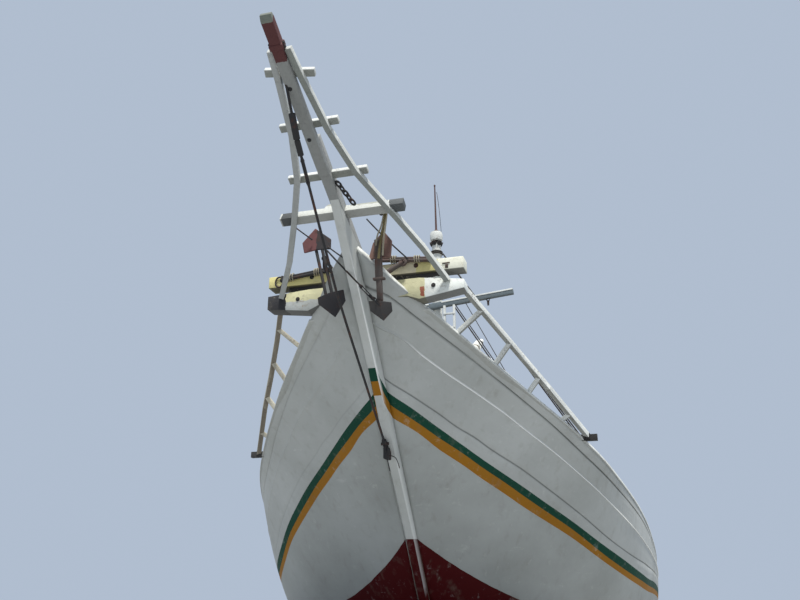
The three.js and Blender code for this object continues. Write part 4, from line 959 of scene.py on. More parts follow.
def planking(name, side):
    """The planked side with its bulwark, painted outside and bare white within."""
    rows = planking_rows()
    bm = bmesh.new()
    line_layer = bm.verts.layers.float.new("paint_line")
    seam_layer = bm.verts.layers.float.new("seam")
    highlight_layer = bm.verts.layers.float.new("painted_highlight")
    uv_layer = bm.loops.layers.uv.new("planks")
    bmesh.ops.create_grid(bm, x_segments=COLUMNS, y_segments=len(rows) - 1, size=0.5)
    places = {}
    pushes = {}
    for vertex in bm.verts:
        column = round((vertex.co.x + 0.5) * COLUMNS)
        row, push = rows[round((vertex.co.y + 0.5) * (len(rows) - 1))]
        point = planking_point(row, column / COLUMNS, side)
        if row > SHEER_ROW - 1:
            point.z -= CAP_THICK * (row - SHEER_ROW + 1) * clamped((point.y + 14.2) / 0.2)
        vertex.co = (point.x * side, point.y, point.z)
        vertex[line_layer] = row - 1.0
        vertex[seam_layer] = SEAM_TONE[side] if push < 0 else 0.0
        # Painted highlight on the port bead only, fading out at the bow.
        shown = clamped((point.y + 13.8) / 0.35) if side > 0 else 0.0
        vertex[highlight_layer] = shown if push > 0 else 0.0
        places[vertex] = (point.y, row)
        pushes[vertex] = push * SEAM_DEPTH[side]
    for face in bm.faces:
        for loop in face.loops:
            loop[uv_layer].uv = places[loop.vert]
    bmesh.ops.recalc_face_normals(bm, faces=bm.faces)
    middle = min(bm.faces, key=lambda f: (f.calc_center_median() - Vector((side * 4.4, 0, 0.6))).length)
    if middle.normal.x * side < 0:
        bmesh.ops.reverse_faces(bm, faces=bm.faces)
    bm.normal_update()
    for vertex, push in pushes.items():
        vertex.co += vertex.normal * push
    piece = finished(
        "planking_" + name, mesh_of("planking_" + name, bm), HULL_PAINT, slot="white_paint",
        replaces=("bulwark_" + name,), smooth=28.0,
    )
    piece.data.materials.append(TIMBER_ALONG)
    wall = thickened(piece, PLANK)
    wall.material_offset = 1
    wall.material_offset_rim = 1
    wall.use_even_offset = False


def rail_cap(name, side):
    """The cap along the top of the bulwark, behind the cat beams."""
    bm = bmesh.new()
    first = (-14.0 - STATION_Y[0]) / (TRANSOM_Y - STATION_Y[0])
    bmesh.ops.create_grid(bm, x_segments=COLUMNS, y_segments=1, size=0.5)
    for vertex in bm.verts:
        share = mix(first, 1.0, row_spacing(vertex.co.x + 0.5))
        y = mix(STATION_Y[0], TRANSOM_Y, share)
        edge = skin_point(y, 1.0)
        lean = clamped((-y - 10.0) * 0.05, high=0.14)
        across = 0.012 if vertex.co.y > 0 else -0.19 - lean
        vertex.co = ((edge.x + across) * side, edge.y, edge.z)
    bmesh.ops.recalc_face_normals(bm, faces=bm.faces)
    bm.faces.ensure_lookup_table()
    if bm.faces[0].normal.z < 0:
        bmesh.ops.reverse_faces(bm, faces=bm.faces)
    name = "rail_cap_" + name
    piece = finished(name, mesh_of(name, bm), TIMBER_ALONG, slot="white_paint", replaces=(name,))
    thickened(piece, CAP_THICK)
    edge = piece.modifiers.new("worn_edges", "BEVEL")
    edge.width = 0.012
    edge.segments = 2
    edge.limit_method = "ANGLE"


def hull_core():
    """The deck and the body under it, drawn in behind the planking."""
    bm = copied("hull")
    for vertex in bm.verts:
        x = abs(vertex.co.x)
        inner = max(x - CORE_INSET, min(x, 0.02))
        vertex.co.x = inner if vertex.co.x > 0 else -inner
    from_bmesh("hull_core", bm, DECK, slot="deck_wood", replaces=("hull",))


for name, side in SIDES:
    planking(name, side)
    rail_cap(name, side)
hull_core()


# Stem

def stem_timber():
    """The stem, bevelled along its front, with the hull's bands painted across it."""
    bm = copied("stem_post")
    level_cuts = [(Vector((0, 0, 0.1 * k)), Vector((0, 0, 1))) for k in range(-8, 66)]
    upright_cuts = [(Vector((x, 0, 0)), Vector((1, 0, 0))) for x in (-0.06, 0.0, 0.06)]
    for place, facing_way in level_cuts + upright_cuts:
        geom = list(bm.verts) + list(bm.edges) + list(bm.faces)
        bmesh.ops.bisect_plane(bm, geom=geom, plane_co=place, plane_no=facing_way, dist=1e-5)
    line_layer = bm.verts.layers.float.new("paint_line")
    bm.verts.layers.float.new("seam")
    highlight_layer = bm.verts.layers.float.new("painted_highlight")
    heights = [-2.0] + [skin_point(points[0][0], 0.0).z for points in HULL_LINES]
    for vertex in bm.verts:
        to_nose = min(1.0, (STEM_HALF - abs(vertex.co.x)) / (STEM_HALF - STEM_NOSE))
        height = vertex.co.z
        z = height - STEM_PEAK * to_nose * clamped((height - 2.5) / 1.2)
        k = 0
        while k < len(heights) - 2 and z > heights[k + 1]:
            k += 1
        vertex[line_layer] = k - 1.0 + (z - heights[k]) / (heights[k + 1] - heights[k])
        # Painted highlight down the port edge of the stem's nose.
        if abs(vertex.co.x - STEM_NOSE) < 0.003:
            high_part = clamped(min((height - 4.0) / 0.4, (6.3 - height) / 0.5))
            low_part = 0.45 * clamped(min((height - 0.9) / 0.2, (3.3 - height) / 0.2))
            vertex[highlight_layer] = max(high_part, low_part)
    stem = from_bmesh("stem_timber", bm, LIT_STEM_PAINT, slot="white_paint", replaces=("stem_post",), smooth=20.0)
    stem.data.materials.append(TIMBER_ALONG)
    for polygon in stem.data.polygons:
        polygon.material_index = 1 if polygon.normal.y > 0.3 else 0


stem_timber()

# Bow timbers

hewn("bowsprit_outer_timber", "bowsprit_outer", SPRIT_PAINT, 0.012, "weathered_white")
hewn("bowsprit_inner_timber", "bowsprit_inner", SPRIT_PAINT, 0.012, "weathered_white")
for k in range(1, 5):
    beam_finish = LAST_BEAM if k == 4 else TIMBER_ACROSS
    hewn("cross_beam_timber_%d" % k, "cross_beam_%d" % k, beam_finish, 0.010, "weathered_white")
hewn("cat_beam_upper_timber", "cat_beam_upper", YELLOW_TIMBER, 0.014, "yellow_paint")
hewn("cat_beam_lower_timber", "cat_beam_lower", LOWER_BEAM, 0.012, "weathered_white")
for name, side in SIDES:
    rail_finish = TIMBER_HEAD if side > 0 else WORN_HEAD
    hewn("head_rail_timber_" + name, "head_rail_" + name, rail_finish, 0.010, "weathered_white")
    hewn("side_rail_timber_" + name, "side_rail_" + name, SIDE_RAIL_FINISH[name], 0.010, "weathered_white")

# Anchors

# Corners of the palms in front of the beams, as (x, z): from the tip round to the shoulder beside it.
PALMS = {
    "starboard": (
        ((-0.70, 6.86), (-0.41, 6.63), (-0.41, 6.45), (-0.90, 6.43), (-0.94, 6.62)),
        ((-0.29, 5.20), (-0.60, 5.46), (-0.62, 5.58), (-0.16, 5.68), (-0.12, 5.48)),
    ),
    "port": (
        ((0.53, 6.66), (0.68, 6.46), (0.66, 6.16), (0.26, 6.16), (0.34, 6.46)),
        ((0.54, 5.06), (0.31, 5.25), (0.28, 5.43), (0.67, 5.37), (0.69, 5.22)),
    ),
}
PALM_Y = -14.83
# Line of each anchor: x and z of the arms' ends, and the radius of the rods.
ARMS = {"port": ((0.455, 6.20), (0.475, 5.38), 0.052), "starboard": ((-0.64, 6.46), (-0.39, 5.60), 0.034)}
CAT_TOP = 6.275
STOCK_Y = CAT_Y - 0.04
# Ends of each stock across the front of the upper cat beam: x, z.
STOCKS = {"port": ((0.31, 6.335), (1.20, 6.245)), "starboard": ((-1.50, 6.17), (-0.60, 6.265))}
# From the front rod of a stock to its upper one, and to the middle between them
STOCK_UPPER = Vector((0, 0.035, 0.052))
STOCK_MIDDLE = Vector((0, 0.018, 0.026))
# The port shank: behind the palms, where it bends over the beam, and its two points behind.
PORT_SHANK = ((0.47, -14.46, 6.05), (0.74, -14.40, 6.235), (0.86, -14.25, 6.34), (0.86, -13.6, 6.36))
TAIL_Y = -13.51


def add_palm(bm, corners):
    """A spade of two flat leaves that meet in a ridge from the tip to the middle of its base."""
    part = bmesh.new()
    tip, near, near_base, far_base, far = [part.verts.new((x, PALM_Y, z)) for x, z in corners]
    (ax, az), (bx, bz) = corners[2], corners[3]
    base = part.verts.new(((ax + bx) / 2, PALM_Y - 0.05, (az + bz) / 2))
    tip.co.y -= 0.02
    leaves = [part.faces.new((tip, near, near_base, base)), part.faces.new((tip, base, far_base, far))]
    bmesh.ops.recalc_face_normals(part, faces=leaves)
    bmesh.ops.solidify(part, geom=leaves, thickness=0.035)
    eased(part, 0.008, segments=1)
    merged(bm, part)


def add_port_shank(bm, lower, upper, crown, radius):
    """Flat arms with a collar at the crown, and a shank that runs back over the beam to its ring."""
    front = Vector((0, -0.075, 0))
    joint = crown + front / 2
    add_bar(bm, lower + Vector((0, 0.02, 0.03)), joint, 0.10, 0.055, ease=0.012)
    add_bar(bm, joint - Vector((0, 0, 0.03)), upper + front + Vector((0, 0, 0.28)), 0.125, 0.06, ease=0.012)
    add_bar(bm, joint - Vector((0, 0, 0.018)), joint + Vector((0, 0, 0.018)), 0.20, 0.085, ease=0.006)
    low, bend, rise, back = (Vector(point) for point in PORT_SHANK)
    add_rod(bm, bend, rise, radius * 0.8)
    add_rod(bm, rise, back, radius * 0.7)
    add_rod(bm, low, bend, radius * 0.85, radius * 0.8)
    return bend, Vector((back.x, TAIL_Y, back.z))


def add_starboard_shank(bm, lower, upper, crown, radius):
    """Two rods for arms, and a shank that runs back over the beam to its ring."""
    over = Vector((0, 0, 0.08))
    for across in (-0.055, 0.055):
        shift = Vector((across, 0, 0))
        add_rod(bm, lower + shift - over, upper + shift + over, radius * 0.8)
    bend = Vector((crown.x - 0.04, -14.755, CAT_TOP + radius + 0.012))
    tail = Vector((crown.x - 0.16, TAIL_Y, CAT_TOP + radius + 0.06))
    add_rod(bm, crown, bend, radius * 0.85, radius * 0.8)
    add_rod(bm, bend, tail, radius * 0.92, radius * 0.75)
    return bend, tail


SHANKS = {
    "port": (add_port_shank, RUST, PORT_PALM_IRON),
    "starboard": (add_starboard_shank, DARK_IRON, PALM_IRON),
}
for name, side in SIDES:
    add_shank, iron, palm_iron = SHANKS[name]
    (upper_x, upper_z), (lower_x, lower_z), radius = ARMS[name]
    upper, lower = Vector((upper_x, PALM_Y, upper_z)), Vector((lower_x, PALM_Y, lower_z))
    bm = bmesh.new()
    bend, tail = add_shank(bm, lower, upper, (upper + lower) / 2 + Vector((0, 0.02, 0)), radius)
    add_ring(bm, bend, TO_Y, radius, radius * 0.45)
    add_ring(bm, tail + Vector((0, 0.09, 0)), TO_X, 0.09, 0.017, sides=20)
    stock = [Vector((x, STOCK_Y, z)) for x, z in STOCKS[name]]
    for shift in (Vector((0, 0, 0)), STOCK_UPPER):
        add_rod(bm, stock[0] + shift, stock[1] + shift, 0.030)
    for end in stock:
        middle, half = end + STOCK_MIDDLE, Vector((0.02, 0, 0))
        add_bar(bm, middle - half, middle + half, 0.08, 0.125, ease=0.012)
    from_bmesh("anchor_iron_" + name, bm, iron, slot="rusty_iron", replaces=("anchor_" + name,))
    bm = bmesh.new()
    for corners in PALMS[name]:
        add_palm(bm, corners)
    from_bmesh(
        "anchor_palms_" + name, bm, palm_iron, slot="rusty_iron", replaces=("anchor_" + name,), smooth=20.0,
    )

# Seizings that hold the stocks to the cat beam: x and half width of each
SEIZINGS = {"port": ((0.56, 0.04), (0.98, 0.04)), "starboard": ((-1.34, 0.05), (-0.84, 0.04))}
for name, side in SIDES:
    (x0, z0), (x1, z1) = STOCKS[name]
    bm = bmesh.new()
    for x, half in SEIZINGS[name]:
        turns = max(3, round(half * 60))
        for k in range(turns):
            place = mix(x - half, x + half, k / (turns - 1))
            at = Vector((place, STOCK_Y, mix(z0, z1, (place - x0) / (x1 - x0)))) + STOCK_MIDDLE
            add_ring(bm, at, TO_X, 0.066, 0.010, sides=14, around=6)
    from_bmesh("stock_seizings_" + name, bm, PALE_ROPE, slot="rope", smooth=60.0)

# Fastenings on the bow timbers

bm = bmesh.new()
# Bolts in the front of the cat beams: height, radius, and x of each
for z, radius, places in ((6.19, 0.026, (-1.52, -0.95, 0.95)), (5.80, 0.024, (-1.2, -0.35, 0.35, 1.25))):
    for x in places:
        add_bolt(bm, (x, CAT_Y, z), (0, -1, 0), radius)
add_ring(bm, (-1.56, CAT_Y - 0.022, 6.15), TO_Y, 0.075, 0.014, stretch=1.3, sides=18)
for across in (-1, 1):
    for forward in (2.225, 2.285):
        add_bolt(bm, head_point(across * 0.102, forward, -0.10), (across, 0, 0), 0.018)
for forward in (0.76, 1.62):
    add_bolt(bm, head_point(-0.02, forward, -0.166), head_point(0, 0, -1) - head_point(0, 0, 0), 0.02)
from_bmesh("bow_bolts", bm, DARK_IRON, slot="dark_iron")

bm = bmesh.new()
for x_low, x_high, z_low, z_high in ((1.41, 1.54, 6.165, 6.185), (1.46, 1.51, 6.085, 6.15)):
    add_box(bm, (x_low, CAT_Y - 0.012, z_low), (x_high, CAT_Y + 0.02, z_high), ease=0.003)
from_bmesh("cat_beam_strap", bm, DARK_IRON, slot="dark_iron")

# Bobstay: its wire, the fitting and rigging screw in its upper part, and the shackle at the stem

BOBSTAY = (
    (-0.06, -17.69, 7.76), (-0.057, -17.214, 7.105), (-0.051, -15.464, 5.419), (-0.05, -14.867, 4.964),
    (-0.05, -12.72, 3.43),
)
bm = bmesh.new()
for start, end in zip(BOBSTAY, BOBSTAY[1:]):
    add_rod(bm, start, end, 0.021, sides=10)
for place in BOBSTAY[1:-1]:
    add_ball(bm, place, 0.0212, 10, 6)
from_bmesh("bobstay_wire", bm, DARK_IRON, slot="dark_iron", replaces=("bobstay",), smooth=60.0)
bm = bmesh.new()
head, upper, lower, foot = (Vector(BOBSTAY[k]) for k in (0, 1, 2, -1))
add_bar(bm, head.lerp(upper, 0.52), upper, 0.10, 0.06, ease=0.02)
add_bar(bm, upper, upper.lerp(lower, 0.10), 0.085, 0.055, ease=0.015)
add_turnbuckle(bm, upper, lower, share=0.2, length=0.36)
add_bar(bm, foot + Vector((0, -0.14, 0.10)), foot + Vector((0, 0.03, -0.03)), 0.085, 0.06, ease=0.015)
add_rod(bm, foot + Vector((-0.07, -0.06, 0.04)), foot + Vector((0.07, -0.06, 0.04)), 0.028, sides=12)
add_ring(bm, foot + Vector((0.01, -0.03, -0.05)), TO_X, 0.055, 0.016, stretch=1.3)
add_box(bm, foot + Vector((-0.035, -0.06, -0.22)), foot + Vector((0.055, 0.16, -0.02)), ease=0.012)
from_bmesh("bobstay_fittings", bm, DARK_IRON, slot="dark_iron", replaces=("bobstay",))

# Wires, lashings and loose ends between the bow timbers: name, radius, finish, points

RIG_LINES = (
    ("anchor_wire_port", 0.013, DARK_IRON, ((0.15, -14.6, 7.04), (0.50, -14.6, 6.60), (0.84, -14.36, 6.29))),
    ("anchor_wire_starboard", 0.012, DARK_IRON, (
        (-1.03, -15.08, 6.86), (-0.93, -15.05, 6.77), (-0.72, -14.9, 6.62),
    )),
    ("stem_wire_upper", 0.012, DARK_IRON, (
        (-0.43, -14.93, 6.45), (-0.17, -15.0, 6.21), (-0.02, -15.02, 6.10),
    )),
    ("stem_wire_lower", 0.015, DARK_IRON, (
        (-0.43, -14.93, 6.37), (-0.17, -15.0, 6.05), (0.20, -14.95, 5.64),
    )),
    ("palm_lashing_a", 0.024, ROPE_OLD, (
        (0.64, -15.08, 6.92), (0.60, -15.0, 6.72), (0.53, -14.98, 6.5), (0.49, -14.97, 6.10),
    )),
    ("palm_lashing_b", 0.016, PALE_ROPE, (
        (0.66, -15.06, 6.92), (0.62, -15.0, 6.70), (0.57, -14.98, 6.4), (0.55, -14.94, 6.16),
    )),
    ("palm_lashing_c", 0.014, PALE_ROPE, (
        (0.61, -15.07, 6.90), (0.55, -15.0, 6.66), (0.45, -14.98, 6.50), (0.44, -14.95, 6.35),
    )),
    ("beam_lashing", 0.034, ROPE_OLD, (
        (0.50, -15.10, 6.86), (0.58, -15.24, 6.93), (0.74, -15.12, 6.90), (0.70, -14.95, 7.02),
    )),
    ("beam_lashing_second", 0.030, ROPE, (
        (0.56, -15.08, 6.84), (0.66, -15.24, 6.90), (0.80, -15.10, 6.88), (0.74, -14.95, 7.02),
    )),
    ("bobstay_tail_a", 0.008, DARK_IRON, ((-0.02, -12.76, 3.24), (0.00, -12.78, 3.16), (0.05, -12.80, 2.98))),
    ("bobstay_tail_b", 0.008, DARK_IRON, (
        (0.02, -12.78, 3.26), (0.15, -12.84, 3.24), (0.22, -12.84, 3.10), (0.23, -12.82, 3.02),
    )),
)
for name, radius, finish, points in RIG_LINES:
    line_piece(name, points, radius, finish)

bm = bmesh.new()
add_turnbuckle(bm, (0.16, -14.96, 5.68), (0.44, -14.90, 5.36), share=0.45, length=0.30)
add_chain(bm, head_point(0.12, -0.12, -0.05), head_point(0.27, -0.58, -0.05), link=0.13, wire_radius=0.016)
add_chain(bm, (0.33, -14.93, 5.48), (0.43, -14.89, 5.40), link=0.09)
from_bmesh("bow_chains", bm, DARK_IRON, slot="dark_iron")

# Masthead: a cap over a cluster of lamps, and the pole with its line

MAST_TOP = 9.15
DOME_PROFILE = (
    (0.0, 0.08), (0.115, 0.08), (0.15, 0.10), (0.158, 0.16), (0.158, 0.26), (0.14, 0.315), (0.09, 0.34),
    (0.0, 0.35),
)
LAMP_PROFILE = ((0.0, 0.0), (0.03, 0.0), (0.062, 0.09), (0.062, 0.11), (0.0, 0.105))
POLE_SOCKET = ((0.0, 0.0), (0.06, 0.0), (0.06, 0.03), (0.03, 0.06), (0.0, 0.06))
POLE_FOOT, POLE_HEAD = Vector((0, MAST_Y, 9.50)), Vector((-0.02, MAST_Y, 10.82))
POLE_KNOB = 0.026


def on_mast(z):
    return Vector((0, MAST_Y, z))


bm = bmesh.new()
add_turned(bm, on_mast(MAST_TOP), DOME_PROFILE)
from_bmesh("masthead_cap", bm, TIMBER_UP, slot="white_paint", replaces=("masthead_dome",))
bm = bmesh.new()
add_turned(bm, on_mast(MAST_TOP), ((0.0, 0.0), (0.085, 0.0), (0.085, 0.08), (0.0, 0.08)))
for k in range(6):
    angle = k * pi / 3 + 0.3
    way = Vector((cos(angle), sin(angle), 0))
    turn = (way + Vector((0, 0, -0.5))).to_track_quat("Z", "Y").to_matrix().to_4x4()
    add_turned(bm, on_mast(MAST_TOP + 0.04) + way * 0.045, LAMP_PROFILE, sides=14, turn=turn)
from_bmesh("masthead_lamps", bm, DARK_IRON, slot="dark_iron", replaces=("masthead_dome",))
bm = bmesh.new()
add_rod(bm, POLE_FOOT, POLE_HEAD, 0.027, 0.016, sides=12)
add_turned(bm, POLE_FOOT - Vector((0, 0, 0.01)), POLE_SOCKET)
add_ball(bm, POLE_HEAD - Vector((0, 0, POLE_KNOB)), POLE_KNOB, 12, 8)
from_bmesh("mast_pole_staff", bm, RED_TIMBER, slot="red_bottom", replaces=("mast_pole",))
POLE_LINE = ((0.03, MAST_Y, 10.6), (0.10, MAST_Y, 10.1), (0.13, MAST_Y, 9.43))
line_piece("pole_halyard", POLE_LINE, 0.006, DARK_IRON)

# Mast, crosstree, ladder and shrouds

MAST_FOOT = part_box("foremast")[0].z
MAST_PROFILE = (
    (0.0, MAST_FOOT), (0.14, MAST_FOOT), (0.136, 2.6), (0.132, 4.08), (0.158, 4.09), (0.198, 4.15),
    (0.198, 4.176), (0.131, 4.177), (0.116, 8.84), (0.132, 8.862), (0.132, 8.938), (0.112, 8.945),
    (0.110, MAST_TOP), (0.0, MAST_TOP),
)
STEP_HALF, STEP_TALL = 0.26, 0.42
MAST_BANDS = ((3.2, 0.137), (5.4, 0.132), (7.1, 0.127), (8.2, 0.122))  # height and radius of the mast there
bm = bmesh.new()
add_turned(bm, on_mast(0), MAST_PROFILE, sides=36)
corner = Vector((STEP_HALF, STEP_HALF, 0))
add_box(bm, on_mast(MAST_FOOT) - corner, on_mast(MAST_FOOT + STEP_TALL) + corner, ease=0.02)
from_bmesh("mast_timber", bm, TIMBER_UP, slot="white_paint", replaces=("foremast",))
bm = bmesh.new()
for z, radius in MAST_BANDS:
    inner, outer = radius - 0.01, radius + 0.006
    add_turned(bm, on_mast(0), ((inner, z), (outer, z), (outer, z + 0.05), (inner, z + 0.05)))
for k in range(6):
    z = MAST_FOOT + 0.9 + 0.35 * k
    near, far = (-0.24, -0.11) if k % 2 else (0.11, 0.24)
    add_bar(bm, (near, MAST_Y, z), (far, MAST_Y, z), 0.05, 0.03, ease=0.008)
from_bmesh("mast_bands", bm, DARK_IRON, slot="dark_iron", replaces=("foremast",))

hewn("crosstree_timber", "crosstree", CROSSTREE_PAINT, 0.010, "white_paint")
TILT = 0.095
TREE_Y = MAST_Y - 0.205
TREE_Z = 7.45
bm = bmesh.new()
for x_low, x_high in ((-1.87, -0.15), (0.15, 1.87)):
    middle = (x_low + x_high) / 2
    place = Vector((middle, TREE_Y, TREE_Z + middle * sin(TILT) + 0.046))
    half = Vector(((x_high - x_low) / 2, 0.064, 0.02))
    add_box(bm, place - half, place + half, ease=0.008, turn=Matrix.Rotation(-TILT, 4, "Y"))
from_bmesh("crosstree_capping", bm, TIMBER_ACROSS, slot="white_paint", replaces=("crosstree",))
bm = bmesh.new()
for x in (-1.55, -0.7, 1.27):
    add_ring(bm, (x, TREE_Y, TREE_Z + x * sin(TILT) - 0.095), TO_Y, 0.035, 0.008, sides=14)
add_rod(bm, (1.27, TREE_Y, 7.46), (1.27, TREE_Y, 7.34), 0.03, 0.022, sides=10)
from_bmesh("crosstree_eyes", bm, DARK_IRON, slot="dark_iron")

LADDER_Y = MAST_Y - 0.30
LADDER_X = (0.24, 0.47)
RUNGS = 15
bm = bmesh.new()
for x in LADDER_X:
    add_bar(bm, (x, LADDER_Y, MAST_FOOT + 0.06), (x, LADDER_Y, 7.40), 0.055, 0.07, ease=0.01)
for k in range(RUNGS):
    z = MAST_FOOT + 0.45 + 0.34 * k
    left, right = (x + over for x, over in zip(LADDER_X, (-0.02, 0.02)))
    add_bar(bm, (left, LADDER_Y - 0.03, z), (right, LADDER_Y - 0.03, z), 0.035, 0.045, ease=0.008)
from_bmesh("mast_ladder", bm, WORN_HEAD, slot="weathered_white")

SHROUD_FEET = (-7.5, -6.5)
SHROUD_HEAD = 8.9
PLATE = Vector((0.036, 0.085, 0.045))
for name, side in SIDES:
    screws, wires = bmesh.new(), bmesh.new()
    for foot_y in SHROUD_FEET:
        foot = Vector((side * (half_at(foot_y) - 0.08), foot_y, sheer_at(foot_y) + 0.041))
        head = Vector((side * 0.15, MAST_Y + 0.04, SHROUD_HEAD))
        run = (head - foot).normalized()
        add_rod(wires, foot + run * 0.95, head, 0.017, sides=10)
        add_turnbuckle(screws, foot + run * 0.08, foot + run * 1.05, share=0.45, length=0.5)
        plate_middle = foot + Vector((0, 0, 0.005))
        add_box(screws, plate_middle - PLATE, plate_middle + PLATE, ease=0.008)
        add_rod(screws, foot + run * 0.03, foot + run * 0.16, 0.022, sides=10)
        for along in (0.25, 0.55):
            add_rod(wires, head - run * (along + 0.1), head - run * along, 0.026, sides=10)
    add_ring(wires, on_mast(SHROUD_HEAD + side * 0.024), Matrix.Identity(4), 0.135, 0.022, sides=24)
    replaced = ("shrouds_" + name,)
    from_bmesh("shroud_wires_" + name, wires, ROPE, slot="rope", replaces=replaced, smooth=60.0)
    from_bmesh("shroud_screws_" + name, screws, DARK_IRON, slot="dark_iron", replaces=replaced)

# Halyards from the crosstree to pins inside the port rail: name, x at the head, place of the pin, radius
HALYARD_HEAD = (-8.93, 7.44)
HALYARDS = (
    ("halyard_inner", 0.43, (3.66, -8.85), 0.016),
    ("halyard_inner_second", 0.48, (3.72, -8.80), 0.012),
    ("halyard_outer", 0.74, (3.42, -8.85), 0.009),
)
for name, x, pin, radius in HALYARDS:
    line_piece(name, ((x, *HALYARD_HEAD), (*pin, MAST_FOOT + 0.08)), radius, ROPE)

# Boom with its bands, and the sail rolled along it

hewn("boom_spar", "boom", TIMBER_ALONG, 0.012, "weathered_white", body="boom")
BOOM_RISE = radians(35.0)
BOOM_RUN = Vector((0, cos(BOOM_RISE), sin(BOOM_RISE)))
BOOM_UP = Vector((0, -sin(BOOM_RISE), cos(BOOM_RISE)))
BOOM_PIVOT = Vector((0, MAST_Y, 4.30))


def on_boom(along, up=0.0):
    return BOOM_PIVOT + BOOM_RUN * along + BOOM_UP * up


bm = bmesh.new()
for along in (0.30, 2.4, 4.9, 6.95):
    add_rod(bm, on_boom(along), on_boom(along + 0.05), mix(0.097, 0.077, along / 7.2) + 0.004, sides=24)
add_ring(bm, on_boom(6.98, -0.115), TO_X, 0.045, 0.011)
from_bmesh("boom_bands", bm, DARK_IRON, body="boom", slot="dark_iron", replaces=("boom",))

# Rolled sail: reach along the boom and radius of the roll.
# Its cloth is one sheet wound in turns, held by ties.
ROLL = ((0.62, 0.085), (0.80, 0.105), (1.83, 0.136), (5.12, 0.136), (6.40, 0.108), (6.56, 0.085))
ROLL_TIES = (0.95, 1.75, 2.6, 3.45, 4.3, 5.15, 6.0)
ROLL_TURNS = 3.5
ROLL_LIFT = 0.166
ROLL_STEPS, ROLL_AROUND = 150, 120
TIE_STEPS = 28


def roll_point(along, wound):
    """A point of the cloth, by its metres along the boom and its share of the winding, outwards."""
    radius = smooth_at(*zip(*ROLL), along)
    tie = min(abs(along - at) for at in ROLL_TIES)
    squeeze = 1.0 - 0.20 * (1.0 - min(1.0, tie / 0.16)) ** 2
    angle = 2 * pi * ROLL_TURNS * wound + 0.35 * sin(along * 2.1)
    lumps = noise.noise(Vector((along * 2.6, cos(angle) * 0.8, sin(angle) * 0.8 + 3.0)))
    folds = noise.noise(Vector((along * 9.0, cos(angle) * 1.8, sin(angle) * 1.8)))
    layer = mix(0.42, 0.97, wound)
    out = radius * squeeze * layer * (1.0 + wound * (0.09 * lumps + 0.05 * folds - 0.07))
    across, up = out * cos(angle), out * sin(angle) - 0.010 * wound * (1.0 - squeeze)
    # The cloth stays outside the spar.
    spar = mix(0.098, 0.078, (along * cos(BOOM_RISE) - 0.18) / 5.72) + 0.006 + 0.004 * wound
    reach = (across**2 + (up + ROLL_LIFT) ** 2) ** 0.5
    if reach < spar:
        across, up = across * spar / reach, (up + ROLL_LIFT) * spar / reach - ROLL_LIFT
    return on_boom(along, up + ROLL_LIFT + 0.008) + Vector((across, 0, 0))


def add_tie(bm, along):
    """A loop of line drawn tight round the roll and the boom."""
    loop = [roll_point(along, 1.0 - k / 40 / ROLL_TURNS) for k in range(41)]
    centre = on_boom(along, 0.09)
    path = []
    for k in range(TIE_STEPS):
        angle = 2 * pi * k / TIE_STEPS
        way = Vector((cos(angle), 0, 0)) + BOOM_UP * sin(angle)
        held = loop + [on_boom(along) + way * 0.098]
        path.append(centre + way * (0.006 + max(0.098, *[(point - centre).dot(way) for point in held])))
    for start, end in zip(path, path[1:] + path[:1]):
        add_rod(bm, start, end, 0.008, sides=6)


bm = bmesh.new()
bmesh.ops.create_grid(bm, x_segments=ROLL_STEPS, y_segments=ROLL_AROUND, size=0.5)
for vertex in bm.verts:
    along = mix(ROLL[0][0], ROLL[-1][0], vertex.co.x + 0.5)
    vertex.co = roll_point(along, vertex.co.y + 0.5)
bm.normal_update()
outer = max(bm.faces, key=lambda f: f.calc_center_median().z)
if outer.normal.z < 0:
    bmesh.ops.reverse_faces(bm, faces=bm.faces)
sail = finished(
    "rolled_sail", mesh_of("rolled_sail", bm), SAILCLOTH, body="boom", slot="sailcloth",
    replaces=("furled_sail",), smooth=60.0,
)
bm = bmesh.new()
for along in ROLL_TIES:
    for shift in (-0.012, 0.012):
        add_tie(bm, along + shift)
from_bmesh("sail_ties", bm, SAIL_TIES, body="boom", slot="rope", smooth=60.0)

# Timbers and gear with their edges eased: name, node, finish, slot, width of the easing, body

GEAR = (
    ("transom_planks", "transom", WALL_BOARDS, "white_paint", 0.012, "root"),
    ("keel_timber", "keel", BOTTOM_PAINT, "red_bottom", 0.015, "root"),
    ("deadwood_timber", "deadwood", BOTTOM_PAINT, "red_bottom", 0.012, "root"),
    ("stern_post_timber", "stern_post", BOTTOM_PAINT, "red_bottom", 0.012, "root"),
    ("rudder_blade", "rudder", BOTTOM_PAINT, "red_bottom", 0.012, "rudder"),
    ("coaming_timber", "hatch_coaming", TIMBER_ALONG, "weathered_white", 0.012, "root"),
    ("hatch_boards", "hatch_cover", HATCH_BOARDS, "deck_wood", 0.008, "root"),
    ("windlass_posts", "windlass_bitts", TIMBER_UP, "weathered_white", 0.015, "root"),
    ("house_walls", "deckhouse_walls", WALL_BOARDS, "white_paint", 0.006, "root"),
    ("wheelhouse_boards", "wheelhouse_walls", WALL_BOARDS, "white_paint", 0.006, "root"),
    ("house_roof", "deckhouse_roof", ROOF_PAINT, "green_paint", 0.02, "root"),
    ("wheelhouse_top", "wheelhouse_roof", ROOF_PAINT, "green_paint", 0.02, "root"),
    ("railing_posts", "deck_railing", TIMBER_ALONG, "white_paint", 0.006, "root"),
    ("stack_pipe", "exhaust_stack", DARK_IRON, "rusty_iron", 0.006, "root"),
    ("helm_pedestal", "helm_stand", DOOR_WOOD, "deck_wood", 0.012, "root"),
    ("helm_rim", "helm_wheel", DOOR_WOOD, "deck_wood", 0.006, "helm"),
)
for name, node, finish, slot, width, body in GEAR:
    hewn(name, node, finish, width, slot, body=body)
